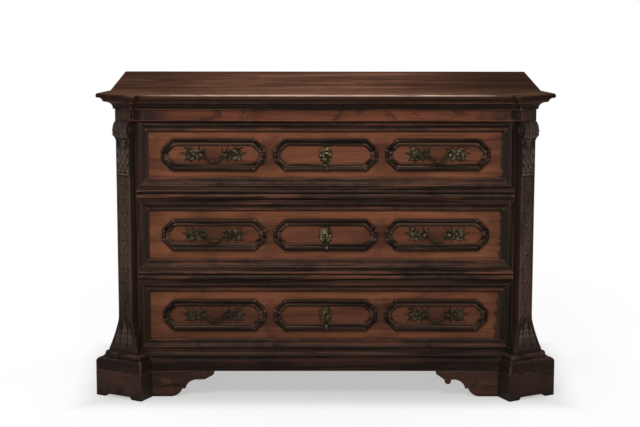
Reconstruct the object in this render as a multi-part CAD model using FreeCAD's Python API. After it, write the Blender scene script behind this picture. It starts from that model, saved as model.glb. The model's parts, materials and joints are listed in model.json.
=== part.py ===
# Walnut and ebonised commode with canted corners: three long drawers in a boarded case.
#
# Millimetres. X runs along the front, Y towards the back and Z up from the floor. The pieces
# are drawn with Y = 0 on the outer face of the drawer fronts. When they are written out they
# move along Y, so that the origin lies under the middle of the whole plan.

import FreeCAD
import Part
import math
import os

Vector = FreeCAD.Vector
UP = Vector(0, 0, 1)
ORIGIN = Vector(0, 0, 0)
QUARTER_SAGITTA = 1 - math.cos(math.pi / 4)

# Heights, from the floor up
foot_height = 86.0
base_height = 62.0
lower_drawer_height = 232.0
lower_divider_height = 33.0
middle_drawer_height = 232.0
upper_divider_height = 34.0
upper_drawer_height = 222.0
frieze_height = 37.0
cornice_height = 38.0
top_thickness = 15.0

# Case
opening_width = 1220.0
case_depth = 555.0
side_thickness = 22.0
back_thickness = 12.0
back_board_count = 3
bottom_thickness = 18.0
rear_post_width = 22.0
rear_post_depth = 40.0
divider_nose = 7.0
frieze_proud = 8.0

# Top
top_overhang = 44.0
top_back_overhang = 5.0
top_upper_round = 7.0
top_lower_round = 4.0
cornice_set_back = 6.0
cornice_bead = 7.0
cornice_fillet = 5.0

# Canted corners
cant_angle = 28.0
post_face = 72.0
side_inset = 18.0
die_width = 60.0
die_projection = 20.0
pilaster_width = 54.0
pilaster_projection = 22.0
volute_height = 58.0
volute_bulge = 19.0
pilaster_foot_width = 110.0
pilaster_foot_projection = 38.0
pilaster_foot_height = 108.0
pilaster_foot_lip = 8.0
pilaster_foot_hollow = 2.5

# Base and feet
pedestal_margin = 7.0
base_projection = 25.0
base_shoulder = 15.0
base_fillet = 3.0
base_shelf = 3.0
fascia_height = 28.0
bracket_thickness = 22.0
bracket_length = 203.0
bracket_drop_width = 20.0
bracket_drop_depth = 14.0
foot_arch_height = 9.0
foot_pad = 34.0
rear_foot_width = 64.0

# Drawers
drawer_gap = 1.5
drawer_box_gap = 1.5
drawer_front_thickness = 24.0
drawer_side_thickness = 14.0
drawer_back_thickness = 12.0
drawer_bottom_thickness = 10.0
drawer_side_drop = 12.0
drawer_back_gap = 0.5
runner_width = 48.0
runner_height = 26.0
guide_height = 20.0
guide_clearance = 0.8
running_clearance = 0.3

# Applied mouldings
frame_moulding_width = 36.0
frame_moulding_rise = 13.0
panel_moulding_width = 22.0
panel_moulding_rise = 10.0
panel_end_margin = 42.5
panel_gap = 26.0
panel_height = 104.0
panel_cut = 35.0
panels_per_drawer = 3
side_frame_margin = 40.0

# Metalwork
handle_span = 80.0
pivot_standoff = 11.0
boss_radius = 6.5
boss_length = 16.0
shank_radius = 3.0
shank_clearance = 0.1
clench_radius = 6.0
clench_thickness = 2.0
pin_radius = 2.2
pin_clearance = 0.08
bail_radius = 3.0
bail_drop = 19.0
collar_radius = 4.0
collar_length = 8.0
bail_neck = 5.0
flower_offset = 26.0
flower_radius = 11.0
flower_rise = 8.0
escutcheon_radius = 13.0
escutcheon_reach = 28.0
escutcheon_leaf = 12.0
leaf_length = 64.0
leaf_width = 22.0
leaf_thickness = 4.0
plate_thickness = 3.0
key_barrel_radius = 3.6
key_slot_width = 3.6
key_slot_length = 13.0
lock_width = 110.0
lock_depth = 16.0
lock_below_key = 42.0
lock_top_margin = 8.0
lock_wall = 2.0
bolt_width = 24.0
bolt_thickness = 6.0
bolt_length = 54.0
bolt_throw = 16.0
bolt_clearance = 0.3
mortise_clearance = 1.5

# Levels worked out from the heights
base_top = foot_height + base_height
drawer_room = 2 * drawer_gap
lower_divider_z = base_top + lower_drawer_height + drawer_room
middle_opening_z = lower_divider_z + lower_divider_height
upper_divider_z = middle_opening_z + middle_drawer_height + drawer_room
upper_opening_z = upper_divider_z + upper_divider_height
frieze_z = upper_opening_z + upper_drawer_height + drawer_room
cornice_z = frieze_z + frieze_height
top_z = cornice_z + cornice_height
height = top_z + top_thickness

# Plan points of the left corner, worked out from the case
cant = math.radians(cant_angle)
ALONG_FACE = Vector(math.cos(cant), -math.sin(cant), 0)
OUT_OF_FACE = Vector(-math.sin(cant), -math.cos(cant), 0)
post_inner = Vector(-opening_width / 2, 0, 0)
post_outer = post_inner - ALONG_FACE * post_face
face_middle = (post_inner + post_outer) * 0.5
side_x = post_outer.x + side_inset
side_inner_x = side_x + side_thickness
post_back_y = post_outer.y + side_inset / math.tan(cant)
back_inner_y = case_depth - back_thickness
top_back_y = case_depth + top_back_overhang
drawer_half = opening_width / 2 - drawer_gap
field_y = frame_moulding_rise
front_back_y = field_y + drawer_front_thickness
field_half = drawer_half - frame_moulding_width
panel_run = 2 * (field_half - panel_end_margin) + panel_gap
panel_pitch = panel_run / panels_per_drawer
panel_length = panel_pitch - panel_gap
handle_x = panel_pitch * (panels_per_drawer - 1) / 2
pedestal_width = pilaster_foot_width + 2 * pedestal_margin
pedestal_projection = pilaster_foot_projection + pedestal_margin


def box(x0, x1, y0, y1, z0, z1):
    """A board between two corners."""
    return Part.makeBox(x1 - x0, y1 - y0, z1 - z0, Vector(x0, y0, z0))


def prism(points, z0, z1):
    """A plan polygon raised from z0 to z1."""
    base = [Vector(p.x, p.y, z0) for p in points]
    return Part.Face(Part.makePolygon(base + base[:1])).extrude(UP * (z1 - z0))


def one_solid(shape):
    """The single solid left by joining or cutting, with seams in flat faces taken out."""
    return shape.removeSplitter().Solids[0]


def mirrored(shape):
    """The same piece on the other side of the middle plane."""
    return shape.mirror(ORIGIN, Vector(1, 0, 0))


def mirrored_point(point):
    return Vector(-point.x, point.y, point.z)


def outline_face(steps, to_space):
    """A face from a drawn outline. A step is a point, or a point and the sagitta of an arc
    that bulges to the left of its chord. The outline closes with a straight line."""
    edges = []
    here = steps[0]
    for step in list(steps[1:]) + [steps[0]]:
        there, sagitta = step if isinstance(step[0], tuple) else (step, 0.0)
        run = (there[0] - here[0], there[1] - here[1])
        length = math.hypot(*run)
        if sagitta:
            middle = (
                (here[0] + there[0]) / 2 - run[1] / length * sagitta,
                (here[1] + there[1]) / 2 + run[0] / length * sagitta,
            )
            curve = Part.Arc(to_space(*here), to_space(*middle), to_space(*there))
        else:
            curve = Part.LineSegment(to_space(*here), to_space(*there))
        edges.append(curve.toShape())
        here = there
    return Part.Face(Part.Wire(edges))


def front_panel(steps, y0, y1):
    """An outline drawn in the front view (x, z), as thick as y0 to y1."""
    return outline_face(steps, lambda x, z: Vector(x, y0, z)).extrude(Vector(0, y1 - y0, 0))


def left_of(direction):
    return Vector(-direction.y, direction.x, 0)


def mitre_vectors(path, closed):
    """How far each corner of a path moves for one unit of offset to its left."""
    count = len(path)
    runs = [(path[(i + 1) % count] - path[i]).normalize() for i in range(count)]
    vectors = []
    for i in range(count):
        before, after = left_of(runs[i - 1]), left_of(runs[i])
        if not closed and i == 0:
            before = after
        if not closed and i == count - 1:
            after = before
        vectors.append((before + after) * (1 / (1 + before.dot(after))))
    return vectors


def offset_path(path, distance):
    """An open path moved to its left, with its corners kept sharp."""
    return [p + m * distance for p, m in zip(path, mitre_vectors(path, False))]


def moulding(path, profile, closed=False):
    """Mitred lengths of moulding, one for each straight stretch of a plan path. The profile's
    first axis runs out to the left of the path and its second axis runs up."""
    mitres = mitre_vectors(path, closed)
    lengths = []
    spare = 1.0
    for i in range(len(path) if closed else len(path) - 1):
        j = (i + 1) % len(path)
        run = path[j] - path[i]
        along = Vector(run).normalize()
        out = left_of(along)
        section = outline_face(profile, lambda u, v: path[i] + out * u + UP * v)
        reach = [u for u, v in (s[0] if isinstance(s[0], tuple) else s for s in profile)]
        low, high = min(reach) - spare, max(reach) + spare
        overrun = 3 * (high - low)
        section.translate(along * -overrun)
        bar = section.extrude(along * (run.Length + 2 * overrun))
        corners = [
            path[i] + mitres[i] * low,
            path[j] + mitres[j] * low,
            path[j] + mitres[j] * high,
            path[i] + mitres[i] * high,
        ]
        trim = prism(corners, bar.BoundBox.ZMin - spare, bar.BoundBox.ZMax + spare)
        lengths.extend(bar.common(trim).Solids)
    return lengths


def on_front(shapes, y):
    """Stands plan-drawn mouldings up on a front face at the given y."""
    for shape in shapes:
        shape.rotate(ORIGIN, Vector(1, 0, 0), 90)
        shape.translate(Vector(0, y, 0))
    return shapes


def corner_points(width, projection, front_y):
    """Plan of a canted block on the left corner, from the side face round to the front face."""
    outer = face_middle + OUT_OF_FACE * projection - ALONG_FACE * (width / 2)
    inner = face_middle + OUT_OF_FACE * projection + ALONG_FACE * (width / 2)
    side = outer - OUT_OF_FACE * ((side_x - outer.x) / math.sin(cant))
    front = inner - OUT_OF_FACE * ((front_y - inner.y) / math.cos(cant))
    return [side, outer, inner, front]


def case_outline(width, projection, front_y, back_y):
    """Plan path from the right back corner round the front to the left back corner."""
    left = [Vector(side_x, back_y, 0)] + corner_points(width, projection, front_y)
    return [mirrored_point(p) for p in left] + left[::-1]


def on_cant(shape):
    """Moves a piece drawn as if it faced the front onto the left canted corner."""
    shape.rotate(ORIGIN, UP, -cant_angle)
    shape.translate(face_middle)
    return shape


frieze_path = case_outline(die_width, die_projection, -frieze_proud, top_back_y)
base_path = case_outline(pedestal_width, pedestal_projection, 0.0, case_depth)
plinth_path = offset_path(base_path, base_projection)
plan_shift = -(min(p.y for p in plinth_path) + top_back_y) / 2


def write(node, shapes):
    """Writes one named piece, or a group of like pieces, in the part's own frame."""
    placed = [s.copy() for s in shapes]
    for shape in placed:
        shape.translate(Vector(0, plan_shift, 0))
    whole = placed[0] if len(placed) == 1 else Part.makeCompound(placed)
    whole.exportStep(os.path.join("parts", node + ".step"))


def top_panel():
    """The top, a wide board with ears over the canted corners and a thumb-rounded edge."""
    plan = offset_path(frieze_path, top_overhang)
    board = prism(plan, top_z, height)

    def moulded_edges(z):
        flat = [e for e in board.Edges if abs(e.BoundBox.ZMin - z) + abs(e.BoundBox.ZMax - z) < 0.01]
        return [e for e in flat if e.BoundBox.YMin < top_back_y - 0.01]

    board = board.makeFillet(top_upper_round, moulded_edges(height))
    return board.makeFillet(top_lower_round, moulded_edges(top_z)).Solids[0]


def cornice_profile():
    """Fillet, cavetto and bead that carry the eye from the frieze out to the top's edge."""
    reach = top_overhang - top_lower_round - cornice_set_back
    bead = cornice_bead
    return [
        (0.0, cornice_z),
        (cornice_fillet, cornice_z),
        (cornice_fillet, cornice_z + cornice_fillet),
        ((reach - bead, top_z - 2 * bead), 0.85 * bead),
        (reach - bead, top_z - 1.5 * bead),
        ((reach - bead, top_z - 0.5 * bead), -0.5 * bead),
        (reach, top_z - 0.5 * bead),
        (reach, top_z),
        (0.0, top_z),
    ]


def base_profile():
    """Fascia, rounded shoulder, small fillet and cavetto of the base, from the plinth up to the case."""
    fascia_top = foot_height + fascia_height
    shoulder_top = fascia_top + base_shoulder
    fillet_out = base_projection - base_shoulder - base_fillet
    cavetto_rise = base_top - base_shelf - shoulder_top - base_fillet
    return [
        (0.0, foot_height),
        (base_projection, foot_height),
        (base_projection, fascia_top),
        ((base_projection - base_shoulder, shoulder_top), -QUARTER_SAGITTA * base_shoulder),
        (fillet_out, shoulder_top),
        (fillet_out, shoulder_top + base_fillet),
        ((base_fillet, base_top - base_shelf), QUARTER_SAGITTA * cavetto_rise / 2),
        (0.0, base_top - base_shelf),
    ]


def frame_profile():
    """Ebonised frame round a drawer front or side panel: fillet, bead, hollow and lip."""
    w, rise = frame_moulding_width, frame_moulding_rise
    return [
        (0.0, 0.0),
        (w, 0.0),
        (w, 0.20 * rise),
        ((0.80 * w, 0.42 * rise), -0.05 * w),
        ((0.45 * w, 0.77 * rise), 0.07 * w),
        (0.39 * w, 0.77 * rise),
        ((0.19 * w, 0.77 * rise), -0.078 * w),
        (0.17 * w, rise),
        (0.0, rise),
    ]


def panel_profile():
    """Narrow ebonised moulding of the long octagons: two beads with a hollow between."""
    w, rise = panel_moulding_width, panel_moulding_rise
    return [
        (0.0, 0.0),
        (w, 0.0),
        (w, 0.20 * rise),
        ((0.73 * w, 0.30 * rise), -0.10 * w),
        ((0.36 * w, 0.75 * rise), 0.07 * w),
        (0.34 * w, 0.85 * rise),
        ((0.0, 0.30 * rise), -0.14 * w),
    ]


def corner_post():
    """Canted stile behind the left pilaster, with the plain die of the frieze above it."""
    side, outer, inner, front = corner_points(die_width, die_projection, 0.0)
    back = [Vector(post_inner.x, post_back_y, 0), Vector(side_x, post_back_y, 0)]
    stile = prism([post_outer, post_inner] + back, foot_height, frieze_z)
    die = prism([side, outer, inner, front, post_inner] + back, frieze_z, top_z)
    return one_solid(stile.fuse(die))


def pilaster():
    """Carved console on the left canted corner: scrolled head, shaft and flared foot. The foot
    stops at the edge of the opening, so the lowest drawer runs past it."""
    foot_top = base_top + pilaster_foot_height
    lip_top = base_top + pilaster_foot_lip
    volute_z = frieze_z - volute_height
    side_view = [
        (0.0, base_top),
        (pilaster_foot_projection, base_top),
        (pilaster_foot_projection, lip_top),
        ((pilaster_projection, foot_top), pilaster_foot_hollow / 2),
        (pilaster_projection, volute_z),
        ((pilaster_projection, frieze_z), -volute_bulge),
        (0.0, frieze_z),
    ]
    half, foot_half = pilaster_width / 2, pilaster_foot_width / 2
    front_view = [
        (-foot_half, base_top),
        (foot_half, base_top),
        (foot_half, lip_top),
        ((half, foot_top), pilaster_foot_hollow),
        (half, frieze_z),
        (-half, frieze_z),
        (-half, foot_top),
        ((-foot_half, lip_top), pilaster_foot_hollow),
    ]
    across = outline_face(side_view, lambda out, z: Vector(-foot_half, -out, z))
    across = across.extrude(Vector(pilaster_foot_width, 0, 0))
    deep = front_panel(front_view, -pilaster_foot_projection - volute_bulge, 0.0)
    console = on_cant(across.common(deep))
    reach = pilaster_foot_width + pilaster_foot_projection
    drawer_way = box(post_inner.x, 0.0, post_inner.y - reach, post_back_y, base_top, frieze_z)
    return one_solid(console.cut(drawer_way))


def front_foot():
    """Block foot of the left corner, with the pedestal that carries the pilaster."""
    side, outer, inner, front = plinth_path[-2:-6:-1]
    plan = [side, outer, inner, front, Vector(front.x, side.y, 0)]
    block = prism(plan, 0.0, foot_height)
    face = outer - inner
    arch_half = face.Length / 2 - foot_pad
    arch = [
        (-arch_half, 0.0),
        (arch_half, 0.0),
        ((arch_half - foot_arch_height, foot_arch_height), foot_arch_height / 4),
        (-arch_half + foot_arch_height, foot_arch_height),
        ((-arch_half, 0.0), foot_arch_height / 4),
    ]
    depth = pedestal_projection + base_projection
    cut = on_cant(front_panel(arch[:-1], -2 * depth, 4 * depth))
    pedestal_side, pedestal_outer, pedestal_inner, pedestal_front = base_path[-2:-6:-1]
    pedestal = prism(
        [
            pedestal_side,
            pedestal_outer,
            pedestal_inner,
            pedestal_front,
            post_inner,
            post_outer,
            Vector(side_x, post_back_y, 0),
        ],
        foot_height,
        base_top,
    )
    return one_solid(block.cut(cut).fuse(pedestal))


def bracket_outline(tip):
    """Scrolled bracket from the foot inwards (distance from the foot, height), with its tip."""
    w, h = bracket_length, foot_height
    scroll = [
        (0.0, 0.0),
        (0.29 * w, 0.0),
        ((0.48 * w, 0.31 * h), -0.036 * w),
        (0.53 * w, 0.31 * h),
        ((0.735 * w, 0.66 * h), 0.05 * w),
    ]
    return scroll + tip + [((w, h), -0.02 * w), (0.0, h)]


def plain_tip():
    """Tip of a bracket that has lost its drop."""
    w, h = bracket_length, foot_height
    return [(0.85 * w, 0.675 * h), (0.93 * w, 0.785 * h)]


def drop_tip():
    """Tip of a bracket with its round drop still on."""
    w, h = bracket_length, foot_height
    middle, neck = 0.81 * w, 0.645 * h
    half = bracket_drop_width / 2
    return [
        (middle - half, neck),
        ((middle + half, neck), -bracket_drop_depth),
        (0.965 * w, 0.83 * h),
    ]


def front_bracket(tip):
    """Scrolled bracket beside the left foot, under the front of the base."""
    root = plinth_path[-5]
    board = front_panel(bracket_outline(tip), 0.0, bracket_thickness)
    board.translate(Vector(root.x, -base_projection, 0))
    return board


def side_bracket():
    """Scrolled bracket behind the left foot, under the side of the base."""
    root = plinth_path[-2]
    board = front_panel(bracket_outline(plain_tip()), -bracket_thickness, 0.0)
    board.rotate(ORIGIN, UP, 90)
    board.translate(Vector(side_x - base_projection, root.y, 0))
    return board


def rear_foot():
    """Plain stump under the left back corner."""
    x = side_x - base_projection
    return box(x, x + rear_foot_width, case_depth - rear_foot_width, case_depth, 0.0, foot_height)


def mortise(z):
    """Pocket in a rail's underside for a lock's bolt."""
    half = bolt_width / 2 + mortise_clearance
    y0, y1 = bolt_place()
    depth = bolt_throw - lock_top_margin + mortise_clearance
    return box(-half, half, y0 - mortise_clearance, y1 + mortise_clearance, z, z + depth)


def bolt_place():
    """Front and back of a lock's bolt, in the middle of the lock's case."""
    room = lock_depth - lock_wall
    y0 = front_back_y + (room - bolt_thickness) / 2
    return y0, y0 + bolt_thickness


def frieze_rail():
    """Rail over the drawers. Its face stands proud and runs to the pilasters' dies."""
    die_return = frieze_path[-5]
    at_post = die_return - OUT_OF_FACE * (frieze_proud / math.cos(cant))
    left = [
        die_return,
        Vector(at_post.x, 0, 0),
        post_inner,
        Vector(post_inner.x, post_back_y, 0),
    ]
    plan = left + [mirrored_point(p) for p in left[::-1]]
    return one_solid(prism(plan, frieze_z, top_z).cut(mortise(frieze_z)))


def divider(z, thickness):
    """Rail between two drawers, with a bead over a torus along its front."""
    bead = 0.3 * thickness
    profile = [
        (post_back_y, z),
        (0.0, z),
        (0.0, z + 2.0),
        ((0.0, z + thickness - bead - 4.0), divider_nose),
        (0.0, z + thickness - bead - 2.0),
        ((0.0, z + thickness - 2.0), divider_nose / 2),
        (0.0, z + thickness),
        (post_back_y, z + thickness),
    ]
    face = outline_face(profile, lambda y, height_z: Vector(-opening_width / 2, y, height_z))
    return one_solid(face.extrude(Vector(opening_width, 0, 0)).cut(mortise(z)))


def base_rail():
    """Rail under the lowest drawer, behind the base moulding."""
    return box(-opening_width / 2, opening_width / 2, 0.0, post_back_y, foot_height, base_top)


def side_panel():
    """Left side of the case, from the corner post to the back."""
    return box(side_x, side_inner_x, post_back_y, case_depth, foot_height, top_z)


def side_frame():
    """Mitred ebonised frame on the left side panel."""
    y0, y1 = base_path[-2].y + side_frame_margin, case_depth - side_frame_margin
    z0, z1 = base_top + side_frame_margin, cornice_z - side_frame_margin
    path = [Vector(-y1, z0, 0), Vector(-y0, z0, 0), Vector(-y0, z1, 0), Vector(-y1, z1, 0)]
    lengths = on_front(moulding(path, frame_profile(), closed=True), 0.0)
    for length in lengths:
        length.rotate(ORIGIN, UP, -90)
        length.translate(Vector(side_x, 0, 0))
    return lengths


def back_boards():
    """Boards nailed across the back, between the side panels."""
    low = foot_height
    rise = (top_z - low) / back_board_count
    return [
        box(side_inner_x, -side_inner_x, back_inner_y, case_depth, low + i * rise, low + (i + 1) * rise)
        for i in range(back_board_count)
    ]


def bottom_board():
    """Bottom of the case, level with the underside of the base."""
    z1 = foot_height + bottom_thickness
    return box(side_inner_x, -side_inner_x, post_back_y, back_inner_y, foot_height, z1)


def rear_post():
    """Upright inside the left back corner, which stands on the bottom board."""
    z0 = foot_height + bottom_thickness
    y0 = back_inner_y - rear_post_depth
    return box(side_inner_x, side_inner_x + rear_post_width, y0, back_inner_y, z0, top_z)


def runner(opening_z):
    """Runner and guide on the left, for the drawer that stands at the given opening."""
    top = opening_z + drawer_gap - running_clearance
    y1 = back_inner_y - rear_post_depth
    guide_x = -(drawer_half - drawer_box_gap + guide_clearance)
    return [
        box(side_inner_x, side_inner_x + runner_width, post_back_y, y1, top - runner_height, top),
        box(side_inner_x, guide_x, post_back_y, y1, top, top + guide_height),
    ]


def keyhole(z, y0, y1):
    """Round-headed keyhole that runs through a board from y0 to y1."""
    barrel = Part.makeCylinder(key_barrel_radius, y1 - y0, Vector(0, y0, z), Vector(0, 1, 0))
    half = key_slot_width / 2
    return barrel.fuse(box(-half, half, y0, y1, z - key_slot_length, z))


def leaf(x, z, angle, length, width, thickness):
    """Pointed leaf that lies on the drawer's field, with its stem at (x, z)."""
    stem, tip = Vector(0, 0, 0), Vector(length, 0, 0)
    sides = [
        Part.Arc(stem, Vector(length / 2, 0, -width / 2), tip).toShape(),
        Part.Arc(tip, Vector(length / 2, 0, width / 2), stem).toShape(),
    ]
    blade = Part.Face(Part.Wire(sides)).extrude(Vector(0, -thickness, 0))
    blade.rotate(ORIGIN, Vector(0, -1, 0), angle)
    blade.translate(Vector(x, field_y, z))
    return blade


def post_hole(x, z, radius):
    """Hole through a drawer front for a handle's shank."""
    return Part.makeCylinder(radius, drawer_front_thickness, Vector(x, field_y, z), Vector(0, 1, 0))


def handle_mount(x, z):
    """Right-hand foliate mount of a handle at (x, z): spray of leaves, flower, eyed boss and the
    shank that is clenched behind the drawer front."""
    spray = (
        (10, 1.0, 1.0),
        (-22, 0.81, 0.82),
        (44, 0.66, 0.82),
        (-58, 0.44, 0.64),
        (82, 0.42, 0.64),
        (125, 0.34, 0.55),
    )
    post_x = x + handle_span / 2
    foot = Vector(post_x, field_y, z)
    boss = Part.makeCylinder(boss_radius, boss_length, foot, Vector(0, -1, 0))
    flower_place = Vector(post_x + flower_offset, field_y, z)
    flower = Part.makeCylinder(flower_radius, flower_rise, flower_place, Vector(0, -1, 0))
    body = boss.fuse(flower)
    for angle, long, wide in spray:
        blade = leaf(post_x, z, angle, long * leaf_length, wide * leaf_width, leaf_thickness)
        body = body.fuse(blade)
    clench_place = Vector(post_x, front_back_y, z)
    clench = Part.makeCylinder(clench_radius, clench_thickness, clench_place, Vector(0, 1, 0))
    body = body.fuse(post_hole(post_x, z, shank_radius)).fuse(clench)
    eye_start = Vector(post_x - 2 * boss_radius, field_y - pivot_standoff, z)
    eye = Part.makeCylinder(pin_radius + pin_clearance, 4 * boss_radius, eye_start, Vector(1, 0, 0))
    return one_solid(body.cut(eye))


def handle_mounts(z):
    """The four mounts of a drawer's two handles."""
    outer = handle_mount(handle_x, z)
    inner = mirrored(handle_mount(-handle_x, z))
    return [outer, inner, mirrored(outer), mirrored(inner)]


def bail(x, z):
    """Drop handle: a swag of round bar that hangs between the eyes of two mounts."""
    y = field_y - pivot_standoff
    neck = handle_span / 2 - boss_radius - bail_neck
    reach = handle_span / 2 + boss_radius
    ends = [Vector(x - neck, y, z), Vector(x + neck, y, z)]
    swag_radius = (neck ** 2 + bail_drop ** 2) / (2 * bail_drop)
    centre = Vector(x, y, z - bail_drop + swag_radius)
    half_angle = math.atan2(neck, swag_radius - bail_drop)
    tangent = Vector(math.cos(half_angle), 0, -math.sin(half_angle))
    ring = Part.Face(Part.Wire(Part.makeCircle(bail_radius, ends[0], tangent)))
    body = ring.revolve(centre, Vector(0, -1, 0), 2 * math.degrees(half_angle))
    to_right = Vector(1, 0, 0)
    for middle in ends + [Vector(x, y, z - bail_drop)]:
        start = middle - to_right * (collar_length / 2)
        body = body.fuse(Part.makeCylinder(collar_radius, collar_length, start, to_right))
    for end, outward in zip(ends, (-to_right, to_right)):
        body = body.fuse(Part.makeCylinder(pin_radius, reach - neck, end, outward))
    return one_solid(body)


def escutcheon(z):
    """Foliate key plate in the middle of a drawer."""
    body = Part.makeCylinder(escutcheon_radius, plate_thickness, Vector(0, field_y, z), Vector(0, -1, 0))
    sprays = ((90, 1.0), (38, 0.96), (-16, 0.92), (-55, 0.95), (-90, 1.0))
    for angle, share in sprays:
        for turned in {angle, 180 - angle}:
            body = body.fuse(leaf(0, z, turned, share * escutcheon_reach, escutcheon_leaf, plate_thickness))
    return one_solid(body.cut(keyhole(z, field_y - 2 * plate_thickness, field_y)))


def lock_case(key_z, front_top):
    """Iron tray of the lock, nailed behind the drawer front and open towards it."""
    half = lock_width / 2
    top = front_top - lock_top_margin
    low = key_z - lock_below_key
    y1 = front_back_y + lock_depth
    tray = box(-half, half, front_back_y, y1, low, top)
    room = box(
        -half + lock_wall, half - lock_wall, front_back_y, y1 - lock_wall, low + lock_wall, top - lock_wall
    )
    y_bolt = bolt_place()
    slot_half = bolt_width / 2 + bolt_clearance
    slot = box(
        -slot_half, slot_half, y_bolt[0] - bolt_clearance, y_bolt[1] + bolt_clearance, top - lock_wall, top
    )
    rest_z = top - bolt_length - bolt_clearance
    rest = box(-bolt_width / 2, bolt_width / 2, y_bolt[0], y1 - lock_wall, rest_z - lock_wall, rest_z)
    return one_solid(tray.cut(room).cut(slot).fuse(rest))


def lock_bolt(front_top):
    """Bolt of the lock, drawn back level with the top of its case."""
    top = front_top - lock_top_margin
    y0, y1 = bolt_place()
    return box(-bolt_width / 2, bolt_width / 2, y0, y1, top - bolt_length, top)


def octagon(x, z):
    """Long octagon of ebonised moulding on a drawer's field."""
    a, b, cut = panel_length / 2, panel_height / 2, panel_cut
    corners = [
        (-a + cut, -b),
        (a - cut, -b),
        (a, -b + cut),
        (a, b - cut),
        (a - cut, b),
        (-a + cut, b),
        (-a, b - cut),
        (-a, -b + cut),
    ]
    path = [Vector(x + u, z + v, 0) for u, v in corners]
    return on_front(moulding(path, panel_profile(), closed=True), field_y)


def write_drawer(name, opening_z, front_height):
    """Builds one drawer with its mouldings, lock and handles, and writes its pieces."""
    z0 = opening_z + drawer_gap
    z1 = z0 + front_height
    middle = (z0 + z1) / 2
    half = drawer_half
    box_half = half - drawer_box_gap
    box_back = back_inner_y - drawer_back_gap
    floor = z0 + drawer_bottom_thickness
    rim = z1 - drawer_side_drop
    inner_back = box_back - drawer_back_thickness

    front = box(-half, half, field_y, front_back_y, z0, z1)
    front = front.cut(keyhole(middle, field_y, front_back_y))
    for x in (-handle_x, handle_x):
        for side in (-handle_span / 2, handle_span / 2):
            front = front.cut(post_hole(x + side, middle, shank_radius + shank_clearance))
    write(name + "_front", [one_solid(front)])

    side = box(-box_half, -box_half + drawer_side_thickness, front_back_y, box_back, floor, rim)
    write(name + "_sides", [side, mirrored(side)])
    back_half = box_half - drawer_side_thickness
    write(name + "_back", [box(-back_half, back_half, inner_back, box_back, floor, rim)])
    write(name + "_bottom", [box(-box_half, box_half, front_back_y, box_back, z0, floor)])

    frame = [Vector(-half, z0, 0), Vector(half, z0, 0), Vector(half, z1, 0), Vector(-half, z1, 0)]
    write(name + "_frame_moulding", on_front(moulding(frame, frame_profile(), closed=True), field_y))
    octagons = []
    for i in range(panels_per_drawer):
        octagons += octagon(-handle_x + i * panel_pitch, middle)
    write(name + "_panel_mouldings", octagons)

    write(name + "_escutcheon", [escutcheon(middle)])
    write(name + "_lock_case", [lock_case(middle, z1)])
    write(name + "_lock_bolt", [lock_bolt(z1)])
    write(name + "_handle_mounts", handle_mounts(middle))
    write(name + "_left_bail", [bail(-handle_x, middle)])
    write(name + "_right_bail", [bail(handle_x, middle)])


def write_pair(noun, shape):
    """Writes the left piece and its mirror image under their own names."""
    write("left_" + noun, [shape])
    write("right_" + noun, [mirrored(shape)])


os.makedirs("parts", exist_ok=True)

# Case
write("top_panel", [top_panel()])
write("cornice_moulding", moulding(frieze_path, cornice_profile()))
write("frieze_rail", [frieze_rail()])
write("upper_divider", [divider(upper_divider_z, upper_divider_height)])
write("lower_divider", [divider(lower_divider_z, lower_divider_height)])
write("base_rail", [base_rail()])
write_pair("side_panel", side_panel())
write_pair("corner_post", corner_post())
write_pair("pilaster", pilaster())
side_frames = side_frame()
write("side_panel_mouldings", side_frames + [mirrored(run) for run in side_frames])
write("back_boards", back_boards())
write("bottom_board", [bottom_board()])
write("rear_posts", [rear_post(), mirrored(rear_post())])
runners = [piece for z in (base_top, middle_opening_z, upper_opening_z) for piece in runner(z)]
write("drawer_runners", runners + [mirrored(piece) for piece in runners])

# Base and feet
write("base_moulding", moulding(base_path, base_profile()))
write_pair("front_foot", front_foot())
write("left_front_bracket", [front_bracket(plain_tip())])
write("right_front_bracket", [mirrored(front_bracket(drop_tip()))])
write("side_brackets", [side_bracket(), mirrored(side_bracket())])
write("rear_feet", [rear_foot(), mirrored(rear_foot())])

# Drawers
write_drawer("lower_drawer", base_top, lower_drawer_height)
write_drawer("middle_drawer", middle_opening_z, middle_drawer_height)
write_drawer("upper_drawer", upper_opening_z, upper_drawer_height)
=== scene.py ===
# %% [markdown]
# # A walnut commode with ebonised mouldings and carved canted corners
#
# The solids of the case, the drawers and the metalwork come in as a fixed frame, in metres, with
# the floor at z = 0 and the drawers facing -Y. This lesson gives them a camera, light, finishes
# and the carving and foliage that a solid model leaves out. Everything is worked out from the frame
# and from numbers in this file, so it comes out the same each time.

# %% Load the frame and keep its box
import json
import math
import bmesh
import bpy
import numpy as np
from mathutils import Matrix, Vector


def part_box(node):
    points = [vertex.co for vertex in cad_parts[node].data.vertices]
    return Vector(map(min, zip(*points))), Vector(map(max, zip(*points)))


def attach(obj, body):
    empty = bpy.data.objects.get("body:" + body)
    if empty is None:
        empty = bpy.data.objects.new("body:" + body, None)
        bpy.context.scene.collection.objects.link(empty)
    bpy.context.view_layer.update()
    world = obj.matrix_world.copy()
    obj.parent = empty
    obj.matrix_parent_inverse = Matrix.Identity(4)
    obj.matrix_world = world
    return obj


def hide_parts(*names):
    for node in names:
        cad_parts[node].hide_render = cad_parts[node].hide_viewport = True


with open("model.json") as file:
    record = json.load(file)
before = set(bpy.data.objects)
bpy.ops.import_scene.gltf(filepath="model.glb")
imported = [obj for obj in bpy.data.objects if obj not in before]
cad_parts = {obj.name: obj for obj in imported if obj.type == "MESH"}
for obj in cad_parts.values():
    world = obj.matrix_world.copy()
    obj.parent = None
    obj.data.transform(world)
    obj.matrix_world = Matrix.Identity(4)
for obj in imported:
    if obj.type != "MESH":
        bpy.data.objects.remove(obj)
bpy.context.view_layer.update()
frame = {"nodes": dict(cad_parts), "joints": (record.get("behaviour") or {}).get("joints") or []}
nodes = frame["nodes"]

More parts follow.
